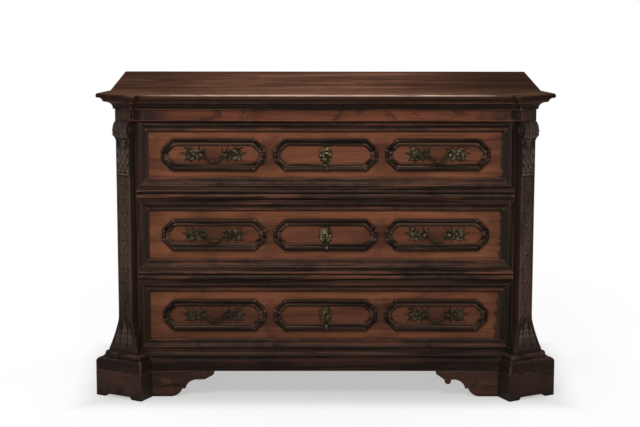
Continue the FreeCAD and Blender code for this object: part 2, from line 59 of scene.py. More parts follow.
# %% [markdown]
# ## Places that the frame gives
#
# A stain or a leaf has to land on the right spot of the solids. The bails hang on hinges, and the
# frame says where each hinge is: that gives the middle height of every drawer, and how far out the
# handles sit. The faces of a drawer come from the box of its front board. The same numbers could be
# typed again here, but they would be wrong as soon as a size of the solids changed.

# %% Drawers and handles
PIVOTS = {joint["child"]: joint["pos_m"] for joint in frame["joints"] if joint["type"] == "hinge"}
DRAWERS = ("upper_drawer", "middle_drawer", "lower_drawer")
DRAWER_Z = {drawer: PIVOTS[drawer.replace("drawer", "right_bail")][2] for drawer in DRAWERS}
HANDLE_X, PIVOT_Y = PIVOTS["upper_right_bail"][:2]
FRONTS = [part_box(drawer + "_front") for drawer in DRAWERS]
FRONT_HALF_X = FRONTS[0][1][0]
FRONT_HALF_Z = [(high[2] - low[2]) / 2 for low, high in FRONTS]
FIELD_Y, FRONT_BACK_Y = FRONTS[0][0][1], FRONTS[0][1][1]
print("middle of the drawers at", list(DRAWER_Z.values()), "and handles", HANDLE_X, "from the middle")

# %% [markdown]
# ## Camera
#
# The photograph was taken with a long lens from a little above the top of the commode, square to
# its front. Its upright edges stay almost parallel, so part of the downward look is made with the
# lens shift instead of tilt. The numbers come from fitting the corners of the model to the corners
# in the photograph.

# %% Camera
LENS, SENSOR, SHIFT = 106.5, 36.0, -0.08
EYE = (-0.032, -6.249, 1.812)
TILT_DOWN, ROLL, TURN = 9.79, -0.06, -0.12

camera_data = bpy.data.cameras.new("camera")
camera_data.sensor_width = SENSOR
camera_data.lens = LENS
camera_data.shift_y = SHIFT
camera = bpy.data.objects.new("camera", camera_data)
camera.location = EYE
camera.rotation_euler = [math.radians(angle) for angle in (90 - TILT_DOWN, ROLL, TURN)]
bpy.context.scene.collection.objects.link(camera)
bpy.context.scene.camera = camera
bpy.context.scene.view_settings.view_transform = "Standard"
print("camera:", round(LENS), "mm, at", EYE)

# %% [markdown]
# ## Shader maths as expressions
#
# A finish is a handful of noises, masks and mixes. Wiring them by hand hides the idea, so one small
# class wraps a socket and lets us write `1 - mask` or `0.3 * fibre`; each operator adds a Math node.
# Colours are written as they are read off a screen, and turned into the linear values that Blender
# mixes.

# %% Colours and the socket wrapper
def linear(red, green, blue):
    """A colour as read off a screen (0 to 255), as the linear colour that Blender mixes."""
    def one(value):
        value /= 255
        return value / 12.92 if value <= 0.04045 else ((value + 0.055) / 1.055) ** 2.4
    return (one(red), one(green), one(blue), 1.0)


class Wire:
    """A socket of a finish. Arithmetic on it adds Math nodes to the same finish."""

    def __init__(self, finish, socket):
        self.finish, self.socket = finish, socket

    def math(self, operation, first, second=0.0):
        return self.finish.node("Math", {"operation": operation}, {0: first, 1: second})

    def __add__(self, other):
        return self.math("ADD", self, other)

    def __radd__(self, other):
        return self.math("ADD", other, self)

    def __sub__(self, other):
        return self.math("SUBTRACT", self, other)

    def __rsub__(self, other):
        return self.math("SUBTRACT", other, self)

    def __mul__(self, other):
        return self.math("MULTIPLY", self, other)

    def __rmul__(self, other):
        return self.math("MULTIPLY", other, self)

    def size(self):
        return self.math("ABSOLUTE", self)

    def root(self):
        return self.math("SQRT", self)

    def part(self):
        return self.math("FRACT", self)

    def least(self, other):
        return self.math("MINIMUM", self, other)

    def most(self, other):
        return self.math("MAXIMUM", self, other)

    def between(self, low, high):
        """0 at low, 1 at high, smooth and clamped; low may be the larger one."""
        settings = {"interpolation_type": "SMOOTHSTEP"}
        return self.finish.node("MapRange", settings, {"Value": self, "From Min": low, "From Max": high})


print("a mid grey of 128 is", round(linear(128, 128, 128)[0], 3), "as a linear value")

# %% [markdown]
# ## One builder for every finish
#
# Every other node comes from `Finish.node`, which sets the node's settings first and then its
# sockets, as values or as links. Colours go through Mix, because a Math node would turn them grey.
# The world is built the same way, with its Background in the place of the Principled shader.

# %% Finish builder
class Finish:
    """A material with its Principled shader, or the world with its Background, and what feeds it."""

    def __init__(self, name, world=None):
        self.material = world or bpy.data.materials.new(name)
        self.material.use_nodes = True
        self.tree = self.material.node_tree
        self.shader = self.tree.nodes["Background" if world else "Principled BSDF"]
        self.output = self.tree.nodes["World Output" if world else "Material Output"]
        self.place = None if world else self.node("TexCoord", out="Object")

    def node(self, kind, settings=None, sockets=None, out=0):
        made = self.tree.nodes.new("ShaderNode" + kind)
        for key, value in (settings or {}).items():
            if key == "stops":
                self.set_stops(made.color_ramp, value)
            else:
                setattr(made, key, value)
        self.feed(made, sockets or {})
        return Wire(self, made.outputs[out])

    def set_stops(self, ramp, stops):
        while len(ramp.elements) < len(stops):
            ramp.elements.new(0.5)
        for element, (position, colour) in zip(ramp.elements, stops):
            element.position, element.color = position, colour

    def feed(self, node, sockets):
        for key, value in sockets.items():
            if isinstance(value, Wire):
                self.tree.links.new(value.socket, node.inputs[key])
            else:
                node.inputs[key].default_value = value

    def ramp(self, factor, *stops):
        return self.node("ValToRGB", {"stops": stops}, {0: factor})

    def mix(self, factor, first, second):
        settings = {"data_type": "RGBA", "clamp_factor": True}
        return self.node("Mix", settings, {0: factor, 6: first, 7: second}, out=2)

    def axis(self, name):
        return self.node("SeparateXYZ", {}, {0: self.place}, out=name)

    def seen(self):
        """1 for rays from the camera, in a reflection or through glass; 0 for rays that light things."""
        kinds = ("Camera", "Glossy", "Transmission")
        rays = [self.node("LightPath", out="Is " + kind + " Ray") for kind in kinds]
        return rays[0].most(rays[1]).most(rays[2])

    def fade(self, factor, second):
        """Ends the finish in a mix of its own shader and a second one."""
        own = Wire(self, self.shader.outputs[0])
        self.feed(self.output, {"Surface": self.node("MixShader", {}, {0: factor, 1: own, 2: second})})

    def done(self, **sockets):
        self.feed(self.shader, {key.replace("_", " "): value for key, value in sockets.items()})
        return self.material


print("finish builder ready")

# %% [markdown]
# ## What a surface knows about itself
#
# Wear, dirt and painted light follow the shape: grooves get dirt and painted shade, edges are rubbed
# bare, and what looks up gets dust and a painted highlight. So a surface can ask where a point lies,
# which way it looks, and what stands close by.
# An image painted by hand could show the same, but it would not follow when a size changes. The
# grain is a noise stretched along one axis, and `turn_grain` lays it another way in part of a piece.

# %% Surface masks
class Surface(Finish):
    """A finish that varies with the place, the direction and the neighbourhood of each point."""

    def __init__(self, name):
        super().__init__(name)
        self.lie, self.colour = self.place, None

    def coat(self, mask, colour):
        """Lays a colour over what is there, as far as the mask goes."""
        self.colour = self.mix(mask, self.colour, colour)

    def stretched(self, stretch, shift):
        moved = self.node("VectorMath", {"operation": "ADD"}, {0: self.lie, 1: shift})
        return self.node("VectorMath", {"operation": "MULTIPLY"}, {0: moved, 1: stretch})

    def noise(self, stretch, detail, roughness, twist=0.0, shift=(0, 0, 0)):
        """Noise with so many features a metre along X, Y and Z."""
        sockets = {"Vector": self.stretched(stretch, shift), "Scale": 1.0, "Detail": detail}
        return self.node("TexNoise", {}, sockets | {"Roughness": roughness, "Distortion": twist})

    def specks(self, stretch, shift=(0, 0, 0)):
        """Distance to the nearest of scattered points, for worm holes and pits."""
        return self.node("TexVoronoi", {}, {"Vector": self.stretched(stretch, shift), "Scale": 1.0})

    def turn_grain(self, mask, order):
        """Where mask is 1, the grain is laid another way: "zyx" turns what runs along X to run along Z."""
        turned = self.node("CombineXYZ", {}, {at: self.axis(name) for at, name in enumerate(order.upper())})
        self.lie = self.node("Mix", {"data_type": "VECTOR"}, {0: mask, 4: self.lie, 5: turned}, out=1)

    def facing(self, name):
        """One part of the surface's own direction, such as Z for how far it looks up."""
        normal = self.node("NewGeometry", out="Normal")
        return self.node("SeparateXYZ", {}, {0: normal}, out=name)

    def hollow(self, reach):
        """0 in the open, 1 deep in a corner or groove: it carries the dirt that gathers there and painted
        shade.
        """
        open_sky = self.node("AmbientOcclusion", {"samples": 6}, {"Distance": reach}, out="AO")
        return open_sky.between(0.95, 0.40)

    def edge(self, reach):
        """1 on sharp edges that stand proud, where the finish is rubbed away."""
        body = self.node("AmbientOcclusion", {"samples": 6, "inside": True}, {"Distance": reach}, out="AO")
        return body.between(0.97, 0.60)

    def raised(self):
        """How high a point of a carved or cast form stands, from 0 at its ground to 1 on its crest."""
        return self.node("Attribute", {"attribute_name": "raised"}, out="Fac")

    def bump(self, height, distance, strength):
        sockets = {"Height": height, "Distance": distance, "Strength": strength}
        self.feed(self.shader, {"Normal": self.node("Bump", {}, sockets)})


print("surface masks ready")

# %% [markdown]
# ## Walnut
#
# Old walnut shows three scales at once: a slow cloud of light and dark along the board, fine fibres
# a millimetre or less apart, and the scattered dark pits of worm holes and dents. The cloud and the
# fibres are stretched along the grain. Age adds two more: black in every corner, partly wax and dirt
# and partly painted shade, found by looking round each point for walls close by, and bare wood on the
# sharp edges, found by looking inwards the same way. Wax makes it satin, and dirt makes it duller where
# it lies. Each mark is one more coat of colour over what is there.

# %% Walnut
WAX = {"Specular_IOR_Level": 0.16, "Specular_Tint": linear(232, 205, 186)}
# Near black for dirt and pits, and for painted shade in corners, on inward faces and towards the floor.
SOOT_AND_SHADE = linear(26, 18, 14)


def along(grain, length, across):
    """Features a metre, few along the grain and many across it."""
    return tuple(length if axis == grain else across for axis in "xyz")


def shade(colour, share):
    return linear(*(share * value for value in colour))


def near_floor(wood):
    """1 at the floor, 0 above the middle of the case: mostly a mask for painted shade that deepens downwards.
    """
    return wood.axis("Z").between(0.60, 0.05)


def walnut(name, dark, middle, light, grain="x", dirt=0.5, shine=0.46, low=0.0, extra=None, wax=WAX):
    """Waxed walnut from three colours. extra adds the marks of one piece, and low adds painted shade that
    deepens towards the floor.
    """
    wood = Surface(name)
    cloud = wood.noise(along(grain, 1.7, 13), 5.0, 0.6, 0.9)
    fibre = wood.noise(along(grain, 9, 330), 3.0, 0.65, 0.2, shift=(0.3, 0.7, 0.1))
    streak = wood.noise(along(grain, 2.6, 75), 3.0, 0.6, 0.5, shift=(0.9, 0.2, 0.5))
    grime = wood.noise((5.5, 5.5, 5.5), 4.0, 0.6, 0.6, shift=(2.1, 0.4, 1.3))
    pit = wood.specks((46, 46, 46)).between(0.10, 0.05)
    hollow, edge = wood.hollow(0.016), wood.edge(0.004)
    wood.colour = wood.ramp(cloud, (0.30, linear(*dark)), (0.50, linear(*middle)), (0.72, linear(*light)))
    wood.coat(0.55 * streak.between(0.54, 0.72), shade(dark, 0.55))
    wood.coat(0.50 * fibre.between(0.48, 0.72), shade(middle, 0.62))
    wood.coat(dirt * grime.between(0.50, 0.74), shade(middle, 0.42))
    if extra:
        extra(wood)
    wood.coat(0.55 * edge * streak.between(0.60, 0.40), shade(light, 1.12))
    # Dirt and painted shade: near black deep in corners and grooves.
    wood.coat(0.70 * hollow, SOOT_AND_SHADE)
    # Painted shade, deeper towards the floor.
    wood.coat(low * near_floor(wood), SOOT_AND_SHADE)
    wood.coat(0.85 * pit, SOOT_AND_SHADE)
    rough = shine + 0.20 * grime.between(0.45, 0.75) + 0.10 * fibre + 0.15 * hollow
    wood.bump(0.5 * fibre + 0.9 * streak - 1.2 * pit, 0.0006, 0.55)
    return wood.done(Base_Color=wood.colour, Roughness=rough, **wax)


print("features a metre in a cloud of grain along X:", along("x", 1.7, 13))

# %% [markdown]
# ### Wear and painted light on the top
#
# The top shows its age most: it is rubbed paler towards the front, and there are long cracks and round
# stains. Its light is painted too: a highlight along the nosing, and shade on the front edge and at the
# ends, most at the right. Each mark is a mask from the place and the direction of the surface, with a
# noise that breaks its border. Small faces at the ears, which look in towards the middle of the case,
# are painted black as shade, with the dirt that stays there.

# %% Wear and painted light on the top
MATT = {"Specular_IOR_Level": 0.0}


def shadowed_returns(wood):
    """Painted shade: short faces that look in towards the middle of the case, in the shadow of the ears, are
    painted black, with the dirt that stays there.
    """
    inward = (wood.facing("X") * wood.axis("X")).between(-0.12, -0.30)
    wood.coat(0.80 * inward, SOOT_AND_SHADE)


def top_wear_and_light(wood):
    """The top is rubbed paler towards the front, with cracks and stains; it has a painted highlight on the
    nosing, and painted shade on its front edge and at the ends.
    """
    across, ahead, up = wood.axis("X").size(), wood.axis("Y"), wood.facing("Z")
    crack = wood.noise((1.1, 55, 1), 2.0, 0.5, 0.3, shift=(0.0, 5.0, 0.0))
    line = (crack - 0.5).size().between(0.008, 0.002)
    stain = wood.noise((9, 14, 9), 3.0, 0.5, 1.2, shift=(4.0, 1.0, 0.0)).between(0.64, 0.72)
    rubbed = wood.noise((6, 40, 40), 4.0, 0.6, 0.4, shift=(0.2, 3.1, 0.6)).between(0.30, 0.56)
    # Painted shade: darker towards both ends, more at the right, where the light falls off.
    wood.coat(0.64 * across.between(0.22, 0.68), linear(44, 30, 23))
    wood.coat(0.66 * wood.axis("X").between(0.12, 0.60), linear(36, 25, 19))
    wood.coat(0.22 * ahead.between(-0.10, -0.26) * rubbed, linear(128, 94, 72))
    wood.coat(0.60 * line, linear(30, 21, 17))
    wood.coat(0.72 * stain, linear(36, 26, 21))
    # Painted highlight along the rounded top of the front nosing, broken by the rub noise.
    nose_highlight = up.between(0.998, 0.95) * up.between(0.30, 0.60) * across.between(0.66, 0.30)
    wood.coat(0.80 * nose_highlight * rubbed, linear(188, 164, 148))
    # Painted shade on the edge faces that look forward, and on the nosing at the tips of the ears.
    wood.coat(0.70 * up.between(0.55, 0.10), linear(42, 29, 23))
    wood.coat(0.60 * up.between(0.98, 0.60) * across.between(0.58, 0.68), SOOT_AND_SHADE)
    shadowed_returns(wood)


TOP = walnut("walnut_top", (46, 31, 23), (83, 55, 42), (114, 78, 59), dirt=0.3, extra=top_wear_and_light, wax=MATT)
print("top:", len(TOP.node_tree.nodes), "nodes")

# %% [markdown]
# ### Frieze
#
# Hands and old wax have blackened the frieze towards its ends, and in patches between them. The ends
# are a mask of the distance from the middle, and two noises of different size make the patches. The
# last few millimetres at each end are painted black, as dirt and shadow in the corner there.

# %% Frieze
JET = linear(14, 10, 9)


def dark_ends(wood):
    """The frieze is blackened by handling towards its ends and in patches; its very ends get painted shadow.
    """
    across = wood.axis("X").size()
    patch = wood.noise((4, 9, 9), 3.0, 0.6, 0.8, shift=(1.7, 0.0, 2.2)).between(0.35, 0.65)
    spot = wood.noise((13, 16, 16), 3.0, 0.6, 0.6, shift=(0.6, 0.0, 0.0)).between(0.54, 0.64)
    dark = across.between(0.47, 0.55) * (0.45 + 0.40 * patch) + 0.65 * spot
    wood.coat(dark, linear(38, 28, 25))
    # Painted shadow, with dirt, in the corner at each end of the frieze.
    wood.coat(0.90 * across.between(0.590, 0.602), JET)


FRIEZE = walnut("walnut_frieze", (66, 37, 27), (102, 58, 42), (122, 71, 51), dirt=0.6, extra=dark_ends)
print("frieze:", len(FRIEZE.node_tree.nodes), "nodes")

# %% [markdown]
# ### Drawer fronts
#
# Inside the long octagons the wood is darker, and painted shade makes it darker still in the lower
# drawers. Hands have stained it round the handles and at the right ends. All three drawers have the
# same marks, so a point first asks how far it is from the middle of the nearest drawer, and one finish
# serves all of them.

# %% Marks of handling, and painted shade
def nearest_row(wood):
    """Distance up or down to the middle of the nearest drawer."""
    rows = [(wood.axis("Z") - middle).size() for middle in DRAWER_Z.values()]
    return rows[0].least(rows[1]).least(rows[2])


def fronts_handling_and_shade(wood, row):
    """Dark wood in the octagons, with painted shade deeper in the lower drawers; dark between and beyond
    them, smudges at the right end, stains at the handles.
    """
    across, up = wood.axis("X"), wood.axis("Z")
    aside = across.size()
    inside = row.between(0.042, 0.030) * aside.between(0.53, 0.50)
    # Painted shade: the octagons are darker in the lower drawers.
    wood.coat(inside * (0.34 + 0.16 * up.between(0.80, 0.25)), linear(58, 31, 24))
    gap = (aside - HANDLE_X / 2).size().between(0.040, 0.012) * row.between(0.070, 0.035)
    patch = wood.noise((12, 12, 12), 3.0, 0.6, 0.4, shift=(0.2, 0.9, 0.6)).between(0.22, 0.52)
    wood.coat((0.52 * gap + 0.38 * aside.between(0.505, 0.555)) * patch, linear(44, 28, 21))
    smudge = wood.noise((34, 34, 34), 4.0, 0.65, 0.5, shift=(1.3, 0.2, 0.4))
    soiled = (across + 0.050 * smudge + 0.016 * near_floor(wood)).between(0.585, 0.595)
    wood.coat(0.80 * soiled, linear(30, 23, 20))
    beside = (aside - HANDLE_X).size()
    spread = wood.noise((22, 22, 22), 3.0, 0.6, 0.4, shift=(0.7, 0.3, 1.1))
    stain = (row * row + 0.16 * beside * beside).root() + 0.02 * spread
    wood.coat(0.60 * stain.between(0.050, 0.022), linear(62, 37, 27))


print("stains lie", round(HANDLE_X, 3), "m from the middle of each drawer")

# %% [markdown]
# An open drawer shows the ends of its front board, with the tails of the drawer's sides let into it
# from behind. The solids leave these out, so the dovetails are drawn as a colour: a row of tails that
# grow narrower to the back, each with a fine dark line round it.

# %% Drawer fronts
TAIL_PITCH, TAIL_HALF, TAIL_SPREAD, TAIL_LENGTH = 0.046, 0.011, 0.25, 0.016


def dovetails(wood, row):
    """On its ends a drawer front shows the tails of the drawer's sides."""
    depth = FRONT_BACK_Y - wood.axis("Y")
    beside = TAIL_PITCH * ((row * (1 / TAIL_PITCH) + 0.5).part() - 0.5).size()
    rim = (TAIL_HALF + TAIL_SPREAD * depth - beside).least(TAIL_LENGTH - depth)
    end = wood.facing("X").size().between(0.8, 0.9) * row.between(0.100, 0.099)
    wood.coat(0.85 * end * rim.between(-0.0002, 0.0002), linear(134, 102, 68))
    wood.coat(0.70 * end * rim.size().between(0.0010, 0.0004), SOOT_AND_SHADE)


def drawer_fronts(wood):
    """Handling marks in front, paler wood on the faces that a closed drawer hides, dovetails at the ends."""
    row = nearest_row(wood)
    fronts_handling_and_shade(wood, row)
    hidden = wood.facing("Z").size().most(wood.facing("Y")).between(0.6, 0.8)
    wood.coat(0.75 * hidden, linear(96, 70, 47))
    dovetails(wood, row)


FIELD = walnut(
    "walnut_field", (76, 44, 31), (118, 71, 50), (138, 86, 60), dirt=0.5, low=0.28, extra=drawer_fronts
)
print("drawer fronts:", len(FIELD.node_tree.nodes), "nodes, a tail every", TAIL_PITCH, "m")

# %% [markdown]
# ### Posts, feet, back and plain wood
#
# Under the frieze the corner posts lie in the shadow of the pilasters, and are painted as near black
# strips. The block feet are rubbed brown in the middle of each face, and the right one is painted darker
# as shade. The back is closed with three wide boards of plain wood, and the inside of the drawers is
# left unfinished.

# %% Posts, feet, back and plain wood
def shaded_stiles(wood):
    """Painted shade: under the frieze the corner posts, in the shadow of the pilasters, are painted near
    black.
    """
    # Painted shade: near black below the frieze.
    wood.coat(0.85 * wood.axis("Z").between(0.915, 0.905), linear(18, 13, 11))
    shadowed_returns(wood)


def block_wear_and_shade(wood):
    """The blocks of the feet are rubbed brown in the middle of each face and dark along the edges; the right
    foot gets painted shade.
    """
    middle = wood.axis("Z").between(0.010, 0.030) * wood.axis("Z").between(0.110, 0.070)
    patch = wood.noise((14, 14, 14), 3.0, 0.6, 0.5, shift=(0.5, 0.1, 0.3)).between(0.36, 0.60)
    wood.coat(0.45 * middle * patch, linear(74, 47, 37))
    # Painted shade: the right foot and the right of the rear feet are darker.
    wood.coat(0.55 * wood.axis("X").between(0.30, 0.60), SOOT_AND_SHADE)
    shadowed_returns(wood)


def back_joints(wood):
    """Three wide boards close the back; each joint is a dark line, and the boards differ a little."""
    low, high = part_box("back_boards")
    rise = (high[2] - low[2]) / 3
    up = wood.axis("Z") - low[2]
    lines = [(up - rise * count).size().between(0.0022, 0.0010) for count in (1, 2)]
    wood.coat(0.28 * up.between(rise - 0.001, rise + 0.001), linear(150, 116, 84))
    wood.coat(0.35 * up.between(2 * rise - 0.001, 2 * rise + 0.001), linear(96, 70, 48))
    wood.coat(0.85 * (lines[0] + lines[1]), SOOT_AND_SHADE)


SIDE = walnut("walnut_side", (58, 36, 27), (90, 57, 42), (110, 72, 52), grain="z", dirt=0.6)
FOOT = walnut("dark_walnut", (30, 20, 16), (54, 36, 29), (76, 52, 40), dirt=0.7)
BLOCK = walnut("block_walnut", (22, 15, 13), (38, 27, 23), (54, 38, 31), dirt=0.7, extra=block_wear_and_shade)
POST = walnut("walnut_post", (36, 26, 22), (58, 41, 34), (76, 53, 43), grain="z", dirt=0.6, extra=shaded_stiles)
PLAIN = walnut("plain_wood", (120, 88, 58), (150, 115, 78), (168, 132, 92), grain="y", dirt=0.5, shine=0.62)
BACK = walnut(
    "back_wood", (98, 72, 50), (126, 96, 68), (144, 112, 80), dirt=0.6, shine=0.66, extra=back_joints
)
print("walnut finishes:", [finish.name for finish in (SIDE, FOOT, BLOCK, POST, PLAIN, BACK)])

# %% [markdown]
# ## Ebonised mouldings
#
# The mouldings are stained black and waxed. Rubbing has brought the red-brown wood back in long
# streaks on the parts that stand proud. What looks up is paler with dust and a painted highlight, and
# what looks down is painted black as shade. The streaks follow the length of the moulding, so the grain
# has to turn at each mitre. Four pieces with a finish each would do that too, but here a whole frame
# is one node, and a mask finds on which side of the mitre a point lies.

# %% Grain of the mouldings
MITRE = 0.001


def round_the_sides(wood):
    """Cornice and base: on the sides of the case the moulding runs along Y."""
    wood.turn_grain(wood.facing("X").size().between(0.68, 0.72), "yxz")


def frame_rim(wood):
    """How far in a point lies from the ends and from the long edges of its drawer's frame."""
    upper, other = FRONT_HALF_Z[:2]
    half = other + (upper - other) * wood.axis("Z").between(0.66, 0.68)
    return FRONT_HALF_X - wood.axis("X").size(), half - nearest_row(wood)


def drawer_mitres(wood):
    """Drawer frames: their short uprights run along Z, from mitre to mitre."""
    to_end, to_edge = frame_rim(wood)
    wood.turn_grain((to_edge - to_end).between(-MITRE, MITRE), "zyx")


def side_mitres(wood):
    """Frames on the sides of the case: rails along Y, and uprights along Z."""
    low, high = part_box("side_panel_mouldings")
    middle, half = [(a + b) / 2 for a, b in zip(low, high)], [(b - a) / 2 for a, b in zip(low, high)]
    to_end = half[1] - (wood.axis("Y") - middle[1]).size()
    to_edge = half[2] - (wood.axis("Z") - middle[2]).size()
    wood.turn_grain((to_edge - to_end).between(MITRE, -MITRE), "yxz")
    wood.turn_grain((to_edge - to_end).between(-MITRE, MITRE), "zyx")


print("half heights of the drawer fronts:", np.round(FRONT_HALF_Z, 4).tolist())

# %% [markdown]
# Three of the mouldings have marks of their own: the cornice is rubbed red along one fillet, the base
# is browner over the feet, and the frames of the drawers have greyed uprights and a painted shadow
# along their outer lips.

# %% Wear and painted shadow of single mouldings
def rubbed_fillet(wood, red):
    """The cornice is rubbed red along the fillet under the top, more to the right."""
    band = wood.axis("Z").between(0.968, 0.974) * wood.axis("X").between(-0.60, 0.10)
    ragged = wood.noise((5, 60, 60), 4.0, 0.6, 0.3, shift=(0.9, 0.0, 0.4)).between(0.36, 0.58)
    wood.coat(0.85 * wood.axis("Z").between(0.962, 0.955), JET)
    wood.coat(0.75 * band * ragged, red)
    shadowed_returns(wood)


def brown_corners(wood, red):
    """Over the feet the fascia of the base is rubbed as brown as the blocks under it."""
    corner = wood.axis("X").size().between(0.55, 0.60) * wood.axis("Z").between(0.122, 0.104)
    wood.coat(0.22 * corner, linear(52, 35, 29))
    shadowed_returns(wood)


def shadowed_lips(wood, red):
    """A drawer frame gets a painted shadow along its outer lip; its uprights are grey on the right and in the
    upper drawers.
    """
    to_end, to_edge = frame_rim(wood)
    upright = (to_edge - to_end).between(-MITRE, MITRE)
    aged = (0.60 * wood.axis("Z").between(0.36, 0.64)).most(0.88 * wood.axis("X").between(0.2, 0.5))
    wood.coat(0.55 * wood.axis("X").size().between(0.52, 0.59), linear(27, 21, 18))
    wood.coat(upright * aged, linear(30, 27, 24))
    # Painted shadow: the outer lip of each frame, by the gap round the drawer, is painted black.
    wood.coat(0.85 * to_end.least(to_edge).between(0.0075, 0.0060), JET)


print("wear of the cornice, the base and the drawer frames ready")

# %% [markdown]
# One function makes all the black finishes. They differ in how black the stain still is, how much of
# it is worn off, how pale the edges are, how much dust and painted highlight lie on what looks up, and
# how much painted shade deepens towards the floor.

# %% Ebonised wood
THIN_WAX = dict(WAX, Specular_IOR_Level=0.10)


def ebonised(name, stain, worn, pale, dust_and_highlight, low, lay, extra):
    """Black stained wood. lay turns the grain at the mitres; extra adds the marks of one moulding, wear and
    painted shadow.
    """
    wood = Surface(name)
    if lay:
        lay(wood)
    fibre = wood.noise(along("x", 12, 300), 3.0, 0.6, 0.2)
    rub = wood.noise(along("x", 3.2, 70), 4.0, 0.6, 0.4, shift=(0.4, 1.9, 0.8))
    patch = wood.noise((4.2, 4.2, 4.2), 3.0, 0.6, 0.5, shift=(3.3, 0.1, 0.9))
    speckle = wood.noise((26, 26, 26), 4.0, 0.65, 0.0, shift=(0.8, 0.8, 2.0))
    pit = wood.specks((60, 60, 60), shift=(0.5, 0.2, 0.7)).between(0.09, 0.05)
    hollow, edge, up = wood.hollow(0.010), wood.edge(0.004), wood.facing("Z")
    wood.colour = wood.ramp(speckle, (0.30, shade(stain, 0.72)), (0.68, shade(stain, 1.28)))
    red = wood.ramp(fibre, (0.3, linear(62, 37, 29)), (0.7, linear(112, 68, 50)))
    bare = rub.between(0.46, 0.58) * patch.between(0.34, 0.54)
    wood.coat(worn * bare, red)
    if extra:
        extra(wood, red)
    wood.coat(pale * edge * rub.between(0.38, 0.58), linear(126, 96, 78))
    # Painted shade: faces that look down are near black, and they are unrubbed too.
    wood.coat(0.75 * up.between(-0.10, -0.55), JET)
    # Dust, with a painted highlight, on what looks up.
    dust_and_top_highlight = dust_and_highlight * up.between(0.25, 0.85) * speckle.between(0.30, 0.60)
    wood.coat(dust_and_top_highlight, linear(118, 98, 84))
    # Dirt and painted shade deep in corners and grooves.
    wood.coat(0.85 * hollow, JET)
    # Painted shade, deeper towards the floor.
    wood.coat(low * near_floor(wood), JET)
    wood.coat(0.8 * pit, linear(16, 12, 10))
    wood.bump(0.6 * fibre + 0.6 * speckle - 1.0 * pit, 0.0004, 0.5)
    return wood.done(Base_Color=wood.colour, Roughness=0.38 + 0.22 * speckle + 0.10 * bare, **THIN_WAX)


BLACKS = {
    # stain, worn, pale, dust_and_highlight, low (painted shade to the floor), lay, extra
    "long": ((74, 54, 44), 0.90, 0.65, 0.40, 0.0, round_the_sides, rubbed_fillet),
    "panel": ((12, 9, 7), 0.12, 0.60, 0.08, 0.25, None, None),
    "frame": ((46, 33, 27), 0.85, 0.36, 0.18, 0.30, drawer_mitres, shadowed_lips),
    "side": ((42, 30, 24), 0.65, 0.45, 0.25, 0.0, side_mitres, None),
    "rubbed": ((36, 26, 21), 0.90, 0.45, 0.18, 0.30, None, None),
    "base": ((21, 15, 13), 0.22, 0.35, 0.0, 0.15, round_the_sides, brown_corners),
}
BLACK = {kind: ebonised("ebonised_" + kind, *values) for kind, values in BLACKS.items()}
print("ebonised finishes:", list(BLACK))

# %% [markdown]
# ## Carved wood
#
# A carved or cast form stores how high each of its points stands, so its finish can put dirt in the
# ground and wear on the crests. On the carving the dark ground is partly painted shade, and the pale
# crests are partly a painted highlight. The carved corners are a greyer, drier wood than the boards,
# darkest at the scrolled heads and the flared feet.

# %% Carved wood
def carved(name):
    wood = Surface(name)
    fibre = wood.noise(along("z", 9, 300), 3.0, 0.65, 0.2)
    patch = wood.noise((16, 16, 5), 4.0, 0.6, 0.6, shift=(0.4, 0.2, 0.8))
    raised, hollow = wood.raised(), wood.hollow(0.008)
    dark, middle, light = linear(42, 31, 26), linear(62, 47, 39), linear(82, 62, 51)
    wood.colour = wood.ramp(patch, (0.32, dark), (0.52, middle), (0.70, light))
    wood.coat(0.45 * fibre.between(0.48, 0.70), linear(38, 28, 24))
    head, foot = wood.axis("Z").between(0.70, 0.76), wood.axis("Z").between(0.285, 0.235)
    wood.coat(0.72 * head, linear(36, 32, 29))
    wood.coat(0.50 * foot, linear(34, 29, 26))
    # Dirt and painted shade in the ground of the heads and feet.
    wood.coat(0.60 * raised.between(0.50, 0.10) * (head + foot), SOOT_AND_SHADE)
    # Wear and a painted highlight on the crests.
    crest = raised.between(0.55, 0.95) * patch.between(0.36, 0.58)
    wood.coat(crest * (0.35 + 0.30 * (head + foot)), linear(104, 88, 77))
    # Dirt and painted shade deep in the hollows.
    wood.coat(0.80 * hollow, SOOT_AND_SHADE)
    shadowed_returns(wood)
    wood.bump(0.6 * fibre + 0.5 * patch, 0.0006, 0.6)
    return wood.done(Base_Color=wood.colour, Roughness=0.52 + 0.16 * patch - 0.10 * crest, **WAX)


CARVED = carved("carved_walnut")
print("carved wood:", len(CARVED.node_tree.nodes), "nodes")

# %% [markdown]
# ## Bronze and iron
#
# The handles and key plates were gilt or lacquered once; now they are a dark brown-green, with bright
# metal only where hands rub, and brighter on the key plates than on the handles. The rubbed metal is
# painted brighter on the upper drawers, as light from above. A metal keeps its colour in its
# reflections, so most of the surface is only partly metallic and rather rough. The locks inside are
# plain dark iron.

